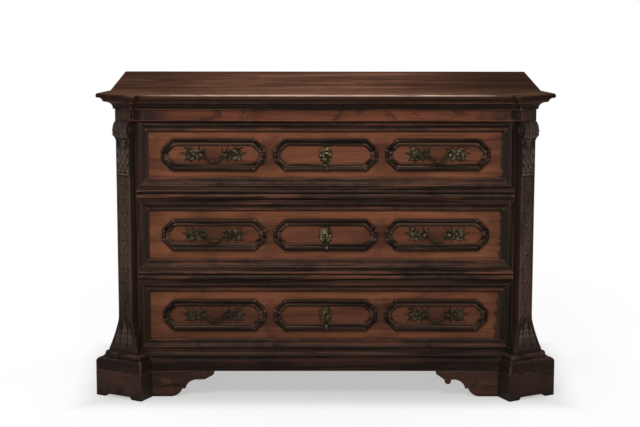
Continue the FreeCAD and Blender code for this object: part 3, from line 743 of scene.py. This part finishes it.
# %% Bronze and iron
def old_metal(name, deep, body, bright, metal, rough):
    """Metal that is deep-coloured in its ground and bright on its rubbed crests; the bright is painted
    stronger on the upper drawers, as light from above.
    """
    cast = Surface(name)
    grain = cast.noise((260, 260, 260), 4.0, 0.6)
    patina = cast.noise((90, 90, 90), 4.0, 0.65, 0.6, shift=(0.1, 0.6, 0.3))
    raised = cast.raised()
    rubbed = raised.between(0.60, 0.98) * patina.between(0.44, 0.60)
    cast.colour = cast.ramp(patina, (0.36, linear(*deep)), (0.62, linear(*body)))
    cast.coat(0.75 * raised.between(0.50, 0.12), linear(*deep))
    # Painted light: the rubbed crests are brighter the higher the drawer.
    light_from_above = 0.18 + 0.77 * cast.axis("Z").between(0.25, 0.75)
    cast.coat(light_from_above * rubbed, linear(*bright))
    cast.bump(0.7 * grain + 0.5 * patina, 0.0005, 0.5)
    metallic, rough = metal + 0.40 * rubbed, rough - 0.16 * rubbed
    return cast.done(Base_Color=cast.colour, Metallic=metallic, Roughness=rough, **THIN_WAX)


BRONZE = old_metal("old_bronze", (27, 23, 17), (56, 48, 35), (114, 104, 79), 0.30, 0.52)
GILT = old_metal("old_gilt_bronze", (30, 25, 18), (68, 58, 40), (162, 146, 106), 0.30, 0.50)
IRON = old_metal("old_iron", (34, 29, 26), (62, 54, 49), (90, 80, 73), 0.55, 0.62)
print("metal finishes:", BRONZE.name, GILT.name, IRON.name)

# %% [markdown]
# ## Dressing the frame
#
# Every solid of the frame gets its finish by name. The handles and key plates get theirs too, although
# finer forms take their places further on.

# %% Finishes for the nodes that stay
def each_drawer(*ends):
    return [drawer + "_" + end for drawer in DRAWERS for end in ends]


FINISHES = [
    (TOP, ["top_panel"]),
    (FRIEZE, ["frieze_rail"]),
    (SIDE, ["left_side_panel", "right_side_panel"]),
    (POST, ["left_corner_post", "right_corner_post"]),
    (CARVED, ["left_pilaster", "right_pilaster"]),
    (BLOCK, ["left_front_foot", "right_front_foot", "rear_feet"]),
    (FOOT, ["left_front_bracket", "right_front_bracket", "side_brackets", "base_rail"]),
    (BLACK["long"], ["cornice_moulding"]),
    (BLACK["rubbed"], ["upper_divider", "lower_divider"]),
    (BLACK["base"], ["base_moulding"]),
    (BLACK["side"], ["side_panel_mouldings"]),
    (BLACK["frame"], each_drawer("frame_moulding")),
    (BLACK["panel"], each_drawer("panel_mouldings")),
    (BACK, ["back_boards"]),
    (FIELD, each_drawer("front")),
    (PLAIN, ["bottom_board", "rear_posts", "drawer_runners"] + each_drawer("sides", "back", "bottom")),
    (IRON, each_drawer("lock_case", "lock_bolt")),
    (BRONZE, each_drawer("escutcheon", "handle_mounts", "left_bail", "right_bail")),
]
for finish, names in FINISHES:
    for name in names:
        nodes[name].data.materials.clear()
        nodes[name].data.materials.append(finish)
print("dressed", sum(len(names) for finish, names in FINISHES), "of", len(nodes), "nodes")

# %% [markdown]
# ## Leaves, stems and flowers
#
# Cast mounts and carved wood are made of the same few forms: a lobed leaf with a vein, a round stem
# that curls, and a flower. Each is a small grid of points on a flat wall, as (across, up, out), so
# that it can be turned, moved and then laid on a flat drawer front or on the curved face of a
# pilaster. Sculpting by hand would look as good but could not be changed by a number.

# %% Leaf
def leaf(length, width, lobes=3, rise=4.0, curl=0.0, depth=0.45):
    """A leaf along +x in millimetres: lobed edges, a sunk vein and a tip that lifts by curl."""
    u, v = np.meshgrid(np.linspace(0, 1, 5 * lobes + 4), np.linspace(-1, 1, 9), indexing="ij")
    aside = np.abs(v)
    envelope = 0.04 + np.sin(np.pi * u ** 0.7) ** 0.75
    lobe = 1 - depth * (0.5 - 0.5 * np.cos(2 * np.pi * (lobes * u + 0.12 * aside))) * u ** 0.3
    sweep = 0.18 * length * aside * envelope * (1 - u)
    crown = (1 - 0.75 * v ** 2) * envelope ** 0.5
    ridge = 1 - 0.45 * np.exp(-(v / 0.16) ** 2) - 0.22 * (1 - lobe) / depth
    up = rise * crown * ridge * (0.35 + 0.65 * np.sin(np.pi * (0.1 + 0.8 * u))) + curl * u ** 3
    ahead = u * length + sweep - 0.1 * length * aside
    return np.stack([ahead, v * envelope * lobe * width / 2, up], axis=-1)


print("a leaf of three lobes has", leaf(30, 12).shape[:2], "points")

# %% [markdown]
# A stem is a half-round bar along any path: a wave, an arch or a spiral that winds in. A curve with a
# bevel would do on a flat wall, but a grid can be laid on a curved one like the leaves, point by point.

# %% Stem
def stem(path, width, rise):
    """A half-round stem along a path of (x, z) points; width and rise may change along it."""
    path = np.array(path, float)
    tangent = np.gradient(path, axis=0)
    tangent /= np.linalg.norm(tangent, axis=1)[:, None]
    side = np.stack([-tangent[:, 1], tangent[:, 0]], axis=1)
    v = np.linspace(-1, 1, 7)
    width = np.broadcast_to(width, len(path))[:, None]
    rise = np.broadcast_to(rise, len(path))[:, None]
    spot = path[:, None, :] + side[:, None, :] * (v * width / 2)[..., None]
    return np.concatenate([spot, (rise * np.sqrt(1 - 0.97 * v ** 2))[..., None]], axis=-1)


def curl_path(radius, turns, start, shrink, count):
    """A spiral that starts on its rim at an angle in degrees and winds in; negative turns go clockwise."""
    share = np.linspace(0, 1, count)
    angle = math.radians(start) + 2 * math.pi * turns * share
    reach = radius * (1 - (1 - shrink) * share ** 0.8)
    return np.stack([reach * np.cos(angle), reach * np.sin(angle)], axis=1)


print("a curl has", len(curl_path(11, -1.4, 200, 0.25, 40)), "points along it")

# %% [markdown]
# A flower is a grid in rings, from its middle out: petals scalloped at the rim, and hollow round a
# bud. Without petals the same rings make a plain boss. `turned` lays any of the forms where it belongs.

# %% Flower
def flower(radius, petals, rise, bud=0.55):
    """A round flower: petals scalloped at the rim, hollow round a bud. No petals makes a plain boss."""
    turn = np.linspace(0, 2 * np.pi, 6 * max(petals, 4) + 1)[:-1]
    r, angle = np.meshgrid(np.linspace(0, 1, 9), turn, indexing="ij")
    reach, up = radius * r, np.sqrt(1 - 0.96 * r ** 4)
    if petals:
        petal = np.abs(np.cos(petals * angle / 2))
        reach = reach * (1 - 0.25 * (1 - petal ** 0.7) * r)
        dish = np.sin(np.pi * (0.15 + 0.75 * r)) * (0.55 + 0.45 * petal)
        up = np.maximum(0.72 * dish, np.sqrt(np.maximum(0, 1 - (r / bud) ** 2)))
    return np.stack([reach * np.cos(angle), reach * np.sin(angle), rise * up], axis=-1)


def turned(grid, degrees, x, z):
    """Turns a grid on its wall, anticlockwise, and moves it."""
    cosine, sine = math.cos(math.radians(degrees)), math.sin(math.radians(degrees))
    across, up = grid[..., 0], grid[..., 1]
    return np.stack([x + cosine * across - sine * up, z + sine * across + cosine * up, grid[..., 2]], axis=-1)


print("a flower of five petals has", flower(5, 5, 3).shape[:2], "points")

# %% [markdown]
# ## From grids to a piece
#
# Each piece is one closed mesh that rides on its body and has a slot for its finish. It stores how
# high every point stands, for the dirt and the wear. Its faces are shaded smooth, apart from sharp
# edges; a finer grid would look rounder too, but it would only add points.

# %% One piece
SHARP = math.radians(50)


def solid(name, points, faces, heights, material, body):
    """One closed mesh that rides on a body, smooth except over sharp edges."""
    mesh = bpy.data.meshes.new(name)
    mesh.from_pydata(points, [], faces)
    mesh.attributes.new("raised", "FLOAT", "POINT").data.foreach_set("value", heights)
    work = bmesh.new()
    work.from_mesh(mesh)
    bmesh.ops.remove_doubles(work, verts=work.verts, dist=1e-6)
    bmesh.ops.recalc_face_normals(work, faces=work.faces)
    work.to_mesh(mesh)
    work.free()
    mesh.shade_smooth()
    mesh.set_sharp_from_angle(angle=SHARP)
    mesh.materials.append(material)
    piece = bpy.data.objects.new(name, mesh)
    bpy.context.scene.collection.objects.link(piece)
    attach(piece, body)
    return piece


print("edges over", round(math.degrees(SHARP)), "degrees stay sharp")

# %% [markdown]
# A `Relief` gathers grids and makes one mesh of them. Each grid gets an underside a little below the
# wall, and sides that join the two, so the leaf runs into its ground as carved wood does and is a
# solid instead of a loose skin.

# %% Relief
MM, SINK = 0.001, 1.0


def quads(index):
    """Four-cornered faces between the neighbours of a grid of point numbers."""
    corners = [index[:-1, :-1], index[1:, :-1], index[1:, 1:], index[:-1, 1:]]
    return [tuple(quad) for quad in np.stack(corners, axis=-1).reshape(-1, 4).tolist()]


class Relief:
    """Leaves, stems and flowers laid on a wall; place turns (across, up, out) into a point."""

    def __init__(self, place=None):
        self.place = place
        self.points, self.faces, self.heights = [], [], []

    def add(self, grid, wrap=False):
        """Adds a grid in millimetres; wrap joins its last column to its first, for flowers."""
        rows, columns = grid.shape[:2]
        under = grid.copy()
        under[..., 2] = np.minimum(grid[..., 2] - 0.4, -SINK)
        index = len(self.points) + np.arange(2 * rows * columns).reshape(2, rows, columns)
        spots = np.concatenate([grid, under]).reshape(-1, 3)
        self.points += [tuple(self.place(*(MM * spot))) for spot in spots]
        self.heights += (grid[..., 2] / grid[..., 2].max()).ravel().tolist() + [0.0] * (rows * columns)
        if wrap:
            index = np.concatenate([index, index[:, :, :1]], axis=2)
        top, low = index
        walls = [(top[0], low[0]), (low[-1], top[-1])]
        if not wrap:
            walls += [(low[:, 0], top[:, 0]), (top[:, -1], low[:, -1])]
        self.faces += quads(top) + [quad[::-1] for quad in quads(low)]
        for wall in walls:
            self.faces += quads(np.stack(wall, axis=1))

    def piece(self, name, material, body, slot):
        return solid(name, self.points, self.faces, self.heights, material, body)


print("undersides lie", SINK, "mm below their wall")

# %% [markdown]
# ## Handles
#
# Each handle is two cast bunches of leaves and flowers, with a bail between them in the form of a
# garland. The bunches are pinned to the drawer; a boss in each holds the bail's pivot. The left-hand
# bunch is a mirror of the right-hand one, so the list of leaves is written once, for the right.

# %% Handle mounts
POST_X = 40.0
MOUNT_LEAVES = [
    # turn, length, width, lobes, rise, start x, start z
    (6, 52, 21, 4, 4.0, 15, 0), (-19, 46, 18, 3, 3.5, 14, -4), (27, 47, 18, 3, 4.0, 14, 4),
    (58, 26, 16, 3, 3.5, 20, 4), (84, 24, 14, 2, 3.2, 4, 3), (120, 25, 13, 2, 3.0, -2, 2),
    (-56, 24, 15, 2, 3.2, 22, -5), (-92, 21, 14, 2, 3.0, 8, -4), (-128, 17, 11, 2, 2.6, -2, -3),
    (168, 13, 9, 1, 2.6, -4, 0), (38, 27, 15, 2, 3.4, 4, 2), (-36, 26, 15, 2, 3.2, 4, -3),
    (0, 26, 14, 2, 3.0, 4, 0),
]
MOUNT_FLOWERS = [
    # radius, petals, rise, x, z
    (10.5, 6, 8.0, 24, 2), (7.0, 5, 6.0, 42, -7), (6.0, 5, 5.5, 44, 9),
]


def on_front(middle_x, middle_z, hand=1):
    """A wall on a drawer front, centred on a point; hand -1 mirrors it."""
    return lambda x, z, out: (middle_x + hand * x, FIELD_Y - out, middle_z + z)


def handle_mount(relief):
    for turn, length, width, lobes, rise, x, z in MOUNT_LEAVES:
        relief.add(turned(leaf(length, width, lobes, rise, 1.5), turn, POST_X + x, z))
    for radius, petals, rise, x, z in MOUNT_FLOWERS:
        relief.add(turned(flower(radius, petals, rise), 20 * x, POST_X + x, z), wrap=True)
    relief.add(turned(flower(7.0, 0, 15.0), 0, POST_X, 0), wrap=True)


for drawer in DRAWERS:
    relief = Relief()
    for side in (-1, 1):
        for hand in (-1, 1):
            relief.place = on_front(side * HANDLE_X, DRAWER_Z[drawer], hand)
            handle_mount(relief)
    mounts = relief.piece(drawer + "_handle_foliage", BRONZE, drawer, "bronze")
    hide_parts(drawer + "_handle_mounts")
print("handle mounts:", len(mounts.data.vertices), "points a drawer")

# %% [markdown]
# The bails are bars of cast bronze, round all over, so a grid with a flat underside won't do. A tube
# does: rings of points along a path, closed with a cap at each end.

# %% Tube
AROUND = 16


def tube(path, radii):
    """Points and faces of a closed tube; radii has one row for each point, and may vary round it."""
    tangent = np.gradient(path, axis=0)
    tangent /= np.linalg.norm(tangent, axis=1)[:, None]
    first = np.cross(tangent, (0.0, 1.0, 0.0))
    first /= np.linalg.norm(first, axis=1)[:, None]
    second = np.cross(tangent, first)
    angle = np.linspace(0, 2 * np.pi, AROUND, endpoint=False)
    ring = first[:, None] * np.cos(angle)[:, None] + second[:, None] * np.sin(angle)[:, None]
    points = path[:, None] + ring * np.broadcast_to(radii, (len(path), AROUND))[..., None]
    index = np.arange(len(path) * AROUND).reshape(len(path), AROUND)
    caps = [tuple(index[0].tolist()), tuple(index[-1, ::-1].tolist())]
    index = np.concatenate([index, index[:, :1]], axis=1)
    return [tuple(spot) for spot in points.reshape(-1, 3)], quads(index) + caps


print("a tube has", AROUND, "points round it")

# %% [markdown]
# A bail is a bow of husks, thin at the pivots and full in the middle: the radius of the tube steps from
# husk to husk along the bow, and ripples round it. Two short pins join it to the bosses. It rides on
# its own body, so it swings on its hinge.

# %% Bails
NECK_X, BOW_DROP, HUSKS = 28.5, 19.0, 5
PIN_X = (NECK_X - 3, NECK_X - 2.6, POST_X + 2, POST_X + 2.4)
PIN_R = (2.6, 3.4, 3.4, 2.6)


def bail_points():
    """The bow from one pivot to the other, and its radius at each point, in millimetres."""
    bow = (NECK_X ** 2 + BOW_DROP ** 2) / (2 * BOW_DROP)
    half = math.asin(NECK_X / bow)
    share = np.linspace(-1, 1, 121)
    x, z = bow * np.sin(half * share), bow - BOW_DROP - bow * np.cos(half * share)
    inward = 1 - np.abs(share)
    step = (HUSKS * inward) % 1.0
    husk = 0.72 + 0.45 * np.sin(np.pi * np.clip(step * 1.15, 0, 1)) ** 0.8
    radius = np.where(np.abs(share) > 0.93, 3.2, (2.1 + 1.9 * inward) * husk)
    angle = np.linspace(0, 2 * np.pi, AROUND, endpoint=False)
    ripple = 1 + 0.13 * np.cos(4 * angle[None, :] + 2 * step[:, None])
    return np.stack([x, 0 * x, z], axis=1), radius[:, None] * ripple


path, radii = bail_points()
for drawer in DRAWERS:
    for side, word in ((-1, "left"), (1, "right")):
        home = np.array([side * HANDLE_X, PIVOT_Y, DRAWER_Z[drawer]])
        points, faces = tube(home + MM * path, MM * radii)
        heights = (radii / radii.max()).ravel().tolist()
        for end in (-1, 1):
            pin = np.array([(end * x, 0.0, 0.0) for x in PIN_X])
            more, skin = tube(home + MM * pin, MM * np.array(PIN_R)[:, None])
            faces += [tuple(at + len(points) for at in face) for face in skin]
            points += more
            heights += [0.6] * len(more)
        body = drawer.replace("drawer", word + "_bail")
        bail = solid(drawer + "_" + word + "_garland", points, faces, heights, BRONZE, body)
        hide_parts(drawer + "_" + word + "_bail")
print("bails:", len(points), "points each")

# %% [markdown]
# ## Key plates
#
# The key plate is a pierced spray of leaves round the keyhole, with one long leaf that hangs down over
# the moulding below. The plate round the hole is a ring of points whose inner edge follows the
# keyhole: a round barrel with a slot under it.

# %% Key plates
BARREL, SLOT_HALF, SLOT_DOWN = 3.6, 1.9, 13.0
PLATE_LEAVES = [
    # turn, length, width, lobes, start distance
    (90, 27, 18, 3, 7), (66, 23, 15, 3, 9), (113, 24, 15, 3, 9), (40, 16, 14, 2, 10),
    (143, 17, 15, 2, 10), (12, 13, 13, 2, 10), (170, 12, 13, 2, 11), (-20, 15, 13, 2, 9),
    (-160, 16, 14, 2, 9), (-48, 19, 14, 3, 10), (-130, 17, 14, 3, 11), (-72, 21, 13, 2, 12),
    (-106, 22, 13, 2, 11),
]
PLATE_BUDS = [
    # radius, x, z
    (4.2, 0, 22), (3.6, -7, 17), (3.4, 8, 16), (3.8, -12, 4), (3.4, 12, 5), (3.6, -10, -8), (3.2, 10, -9),
]


def key_ring():
    """The plate round the keyhole, from the edge of the hole out to a scalloped rim."""
    angle = np.linspace(0, 2 * np.pi, 73)[:-1]
    down, aside = np.maximum(-np.sin(angle), 1e-6), np.maximum(np.abs(np.cos(angle)), 1e-6)
    slot = np.minimum(SLOT_DOWN / down, SLOT_HALF / aside)
    hole = np.where(np.sin(angle) < -1e-6, np.maximum(BARREL, slot), BARREL)
    rim = 14.5 + 2.0 * np.abs(np.cos(3.5 * (angle - np.pi / 2))) + 2.5 * np.maximum(0, -np.sin(angle)) ** 4
    reach = hole + (rim - hole) * np.array([0.0, 0.2, 0.5, 0.8, 1.0])[:, None]
    up = np.array([2.6, 3.4, 2.4, 3.0, 1.2])[:, None] + 0 * angle
    return np.stack([reach * np.cos(angle), reach * np.sin(angle), up], axis=-1)


def hanging_leaf():
    """The long leaf, lifted over the moulding that it crosses."""
    grid = turned(leaf(46, 13, 4, 3.6), -86, 1.0, -12)
    step = np.clip((-28 - grid[..., 1]) / 7, 0, 1)
    grid[..., 2] += 9.0 * step ** 2 * (3 - 2 * step)
    return grid


for drawer in DRAWERS:
    relief = Relief(on_front(0.0, DRAWER_Z[drawer]))
    relief.add(key_ring(), wrap=True)
    for turn, length, width, lobes, gap in PLATE_LEAVES:
        x, z = gap * math.cos(math.radians(turn)), gap * math.sin(math.radians(turn))
        relief.add(turned(leaf(length, width, lobes, 4.4, 1.0), turn, x, z))
    relief.add(hanging_leaf())
    for radius, x, z in PLATE_BUDS:
        relief.add(turned(flower(radius, 5, 6.0), 0, x, z), wrap=True)
    plate = relief.piece(drawer + "_key_plate", GILT, drawer, "bronze")
    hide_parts(drawer + "_escutcheon")
print("key plates:", len(plate.data.vertices), "points each")

# %% [markdown]
# ## Carved pilasters
#
# The canted corners carry consoles: a scroll at the head with an acanthus leaf thrown over it, rows of
# scales and a beaded band under that, then a long shaft with a waving stem, leaves and flowers
# between two fillets, and leaves that spread up from the flared foot. The carving is laid on the
# console's own curved face: a function gives how far the face stands out at each height, and the
# forms are raised square to it. Flat carving on a plane in front of the console would be simpler, but
# it would hang free over the hollows.

# %% Faces of a pilaster
CANT = math.radians(28.0)
FACE_HALF = 0.036
CANT_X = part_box("left_pilaster")[1][0] - FACE_HALF * math.cos(CANT)
CANT_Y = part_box("upper_drawer_frame_moulding")[0][1] + FACE_HALF * math.sin(CANT)
SHAFT_OUT, SHAFT_HALF = 0.022, 0.027
FOOT_OUT, FOOT_HALF, FOOT_HOLLOW = 0.038, 0.055, 0.0025
SCROLL_HALF, SCROLL_BULGE = 0.029, 0.019
SCROLL_R = (SCROLL_HALF ** 2 + SCROLL_BULGE ** 2) / (2 * SCROLL_BULGE)
FOOT_Z, HEAD_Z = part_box("left_pilaster")[0][2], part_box("left_pilaster")[1][2]
LIP_Z, FLARE_Z, SCROLL_Z = FOOT_Z + 0.008, FOOT_Z + 0.108, HEAD_Z - SCROLL_HALF


def face_out(z):
    """How far the console's face stands out from the post at a height."""
    if z < FLARE_Z:
        share = max(0.0, (z - LIP_Z) / (FLARE_Z - LIP_Z))
        return FOOT_OUT + (SHAFT_OUT - FOOT_OUT) * share - 2 * FOOT_HOLLOW * share * (1 - share)
    if z < SCROLL_Z - SCROLL_HALF:
        return SHAFT_OUT
    off = min(abs(z - SCROLL_Z), SCROLL_HALF)
    return SHAFT_OUT + math.sqrt(SCROLL_R ** 2 - off ** 2) - (SCROLL_R - SCROLL_BULGE)


def face_half(z):
    """Half the width of the console's face at a height."""
    share = min(1.0, max(0.0, (z - LIP_Z) / (FLARE_Z - LIP_Z)))
    return FOOT_HALF + (SHAFT_HALF - FOOT_HALF) * share - 4 * FOOT_HOLLOW * share * (1 - share)


def on_cant(hand, across, deep, z):
    """A point so far across and out from the middle of the left cant; hand -1 gives its mirror."""
    left = CANT_X + across * math.cos(CANT) - deep * math.sin(CANT)
    return (hand * left, CANT_Y - across * math.sin(CANT) - deep * math.cos(CANT), z)


def on_pilaster(hand):
    """A wall that follows the console's face."""
    def place(x, z, out):
        slope = (face_out(z + 0.0005) - face_out(z - 0.0005)) / 0.001
        tilt = math.hypot(1.0, slope)
        deep, height = face_out(z) + out / tilt, z - out * slope / tilt
        return on_cant(hand, x * face_half(z) / SHAFT_HALF, deep, height)
    return place


def on_scroll_end(hand, side):
    """A wall on one of the flat ends of the scroll."""
    return lambda x, z, out: on_cant(hand, side * (SHAFT_HALF + out), SHAFT_OUT - 0.004 + x, SCROLL_Z + z)


print("the left cant is centred on", round(CANT_X, 4), round(CANT_Y, 4))

# %% [markdown]
# The heights below are in millimetres, from the top down. On the shaft two leaves spring from the
# crest of every half wave of the stem, and a flower fills the hollow across from it.

# %% Carving on the pilasters
THROW_Z, SCALES_Z, SCALE_STEP, BEADS_Z, BAND_Z = 902, 824, 15, 746, 736
SHAFT_TOP, SHAFT_LOW, WAVE, FOOT_LEAF_Z = 726, 262, 92, 159


def carve_head(relief):
    relief.add(turned(leaf(98, 40, 5, 5.0, 2.0), -90, 0, THROW_Z))
    for side in (-1, 1):
        relief.add(turned(leaf(74, 19, 4, 4.0, 2.0), -90 + 6 * side, 17 * side, THROW_Z - 3))
    for row in range(5):
        for x in ((-16, 0, 16), (-8, 8))[row % 2]:
            relief.add(turned(leaf(27, 18, 1, 3.4, 2.5, 0.1), -90, x, SCALES_Z - SCALE_STEP * row))
    relief.add(stem([(x, BAND_Z) for x in np.linspace(-25, 25, 9)], 9, 4))
    for x in range(-20, 21, 8):
        relief.add(turned(flower(3.4, 0, 3.4), 0, x, BEADS_Z), wrap=True)


def carve_shaft(relief):
    for side in (-1, 1):
        fillet = np.linspace(SHAFT_TOP + 4, SHAFT_LOW - 12, 12)
        relief.add(stem([(23.5 * side, z) for z in fillet], 5, 2.4))
    heights = np.linspace(SHAFT_TOP, SHAFT_LOW, 150)
    relief.add(stem([(8 * math.sin(2 * math.pi * (SHAFT_TOP - z) / WAVE), z) for z in heights], 4.5, 3.0))
    for count in range(10):
        side, z = (1, -1)[count % 2], SHAFT_TOP - WAVE / 4 - WAVE / 2 * count
        relief.add(turned(leaf(23, 12, 3, 3.0, 1.0), -90 - 48 * side, 7 * side, z + 10))
        relief.add(turned(leaf(17, 9, 2, 2.6, 1.0), 90 - 40 * side, 4 * side, z - 16))
        relief.add(turned(flower(5.6, 5, 3.6), 30 * count, -8.5 * side, z + 2), wrap=True)


def carve_foot(relief):
    relief.add(turned(leaf(104, 22, 5, 6.0, 3.0), 90, 0, FOOT_LEAF_Z))
    for side in (-1, 1):
        relief.add(turned(leaf(84, 14, 4, 5.0, 3.0), 90, 14 * side, FOOT_LEAF_Z))


def carve_scroll_end(relief):
    relief.add(stem(curl_path(17, 2.1, 75, 0.22, 60), np.linspace(5.5, 3.2, 60), 1.8))
    relief.add(flower(3.4, 0, 2.6), wrap=True)


for hand, word in ((1, "left"), (-1, "right")):
    relief = Relief(on_pilaster(hand))
    carve_head(relief)
    carve_shaft(relief)
    carve_foot(relief)
    for side in (-1, 1):
        relief.place = on_scroll_end(hand, side)
        carve_scroll_end(relief)
    carving = relief.piece(word + "_pilaster_carving", CARVED, "case", "carved_walnut")
print("carving:", len(carving.data.vertices), "points a pilaster")

# %% [markdown]
# The brackets beside the feet are carved in low relief too: a flower near the foot, and a stem that
# runs out along the bracket and curls, with leaves on both sides.

# %% Carving on the brackets
BRACKET_X, BRACKET_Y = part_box("left_front_bracket")[0][:2]
ROSE_X, ROSE_Z, ROSE_RING = 44, 44, 15
SPRIGS = [
    # x, z, turn
    (78, 52, 49.6), (84, 56, -30.4), (104, 65, 38.4), (110, 65, -24.0),
    (134, 74, 19.2), (140, 71, -22.4), (164, 77, 9.6),
]


def on_bracket(hand):
    """A wall on the front of a bracket, measured from its outer end; hand -1 mirrors it."""
    return lambda x, z, out: (hand * (BRACKET_X + x), BRACKET_Y - out, z)


def carve_bracket(relief):
    relief.add(turned(flower(19, 7, 4.0, 0.35), 0, ROSE_X, ROSE_Z), wrap=True)
    for turn in range(20, 380, 60):
        aside, up = math.cos(math.radians(turn)), math.sin(math.radians(turn))
        relief.add(turned(leaf(15, 10, 2, 2.4), turn, ROSE_X + ROSE_RING * aside, ROSE_Z + ROSE_RING * up))
    run = np.linspace(0, 1, 40)
    path = np.stack([66 + 106 * run, 44 + 30 * run ** 0.7 + 5 * np.sin(7 * run)], axis=1)
    relief.add(stem(path, 4.5 - 2 * run, 2.6 - run))
    for x, z, turn in SPRIGS:
        relief.add(turned(leaf(21, 9, 3, 2.4), turn, x, z))
    relief.add(turned(stem(curl_path(11, -1.4, 200, 0.25, 40), np.linspace(4, 2.4, 40), 2.4), 0, 82, 36))


for hand, word in ((1, "left"), (-1, "right")):
    relief = Relief(on_bracket(hand))
    carve_bracket(relief)
    carving = relief.piece(word + "_bracket_carving", FOOT, "case", "dark_walnut")
print("bracket carving:", len(carving.data.vertices), "points each")

# %% [markdown]
# ## Floor
#
# A studio cut-out: white all round, with a soft shadow under the feet. The floor is pale and takes
# the shadow; away from the commode it fades into the white of the background, so no edge of floor
# shows and no extra light falls on the wood. Right under the case it glows less, which gives the dark
# of the contact.

# %% Floor and world
WHITE, SHADED = (1.0, 1.0, 1.0, 1.0), (0.64, 0.64, 0.635, 1.0)
FILL, GLOW = 0.42, 0.78
SHADE_X, SHADE_Y, SHADE_FADE = 0.68, 0.26, 0.18
FADE_FROM, FADE_TO, FLOOR_REACH = 1.0, 2.2, 30

studio = Finish("studio", bpy.data.worlds.new("studio"))
bpy.context.scene.world = studio.material
studio.done(Color=WHITE, Strength=FILL)
studio.fade(studio.seen(), studio.node("Background", {}, {"Color": WHITE, "Strength": 1.0}))

paper = Finish("studio_floor")
paper.done(Base_Color=(0.5, 0.5, 0.497, 1.0), Roughness=0.9, Specular_IOR_Level=0.0)
aside, ahead = paper.axis("X").size() - SHADE_X, paper.axis("Y").size() - SHADE_Y
clear = aside.most(ahead).between(0.0, SHADE_FADE)
away = paper.node("VectorMath", {"operation": "LENGTH"}, {0: paper.place}, out="Value")
far = away.between(FADE_FROM, FADE_TO)
sheet = paper.node("BsdfDiffuse", {}, {"Color": (0.92, 0.92, 0.915, 1.0)})
glows = [paper.node("Emission", {}, {"Color": colour, "Strength": 1.0}) for colour in (SHADED, WHITE)]
glow = paper.node("MixShader", {}, {0: clear, 1: glows[0], 2: glows[1]})
paper.fade(paper.seen(), paper.node("MixShader", {}, {0: GLOW + (1 - GLOW) * far, 1: sheet, 2: glow}))

floor_mesh = bpy.data.meshes.new("floor")
corners = [(x * FLOOR_REACH, y * FLOOR_REACH, 0) for x, y in ((-1, -1), (1, -1), (1, 1), (-1, 1))]
floor_mesh.from_pydata(corners, [], [(0, 1, 2, 3)])
floor_mesh.materials.append(paper.material)
floor = bpy.data.objects.new("floor", floor_mesh)
bpy.context.scene.collection.objects.link(floor)
print("floor of", 2 * FLOOR_REACH, "m, white from", FADE_TO, "m on")

# %% [markdown]
# ## Lamps
#
# One large soft lamp above and in front does most of the work, and the world fills in evenly. A weak
# lamp lights the top, and one at each side, a little behind, keeps the ends of the case from going
# black.

# %% Lamps
def lamp(name, place, target, size, watts):
    data = bpy.data.lights.new(name, "AREA")
    data.shape, data.size, data.size_y, data.energy = "RECTANGLE", size[0], size[1], watts
    made = bpy.data.objects.new(name, data)
    made.location = place
    made.rotation_euler = (Vector(target) - Vector(place)).to_track_quat("-Z", "Y").to_euler()
    bpy.context.scene.collection.objects.link(made)


lamp("key", (-0.4, -2.6, 3.4), (0.0, 0.0, 0.62), (2.4, 1.4), 112)
lamp("top", (-0.05, 0.4, 2.6), (0.0, 0.1, 0.9), (1.0, 0.6), 12)
lamp("left_side", (-3.2, 1.7, 1.7), (-0.5, 0.0, 0.5), (2.0, 1.5), 45)
lamp("right_side", (3.2, 1.7, 1.7), (0.5, 0.0, 0.5), (2.0, 1.5), 45)
print("lamps:", [light.name for light in bpy.data.lights])
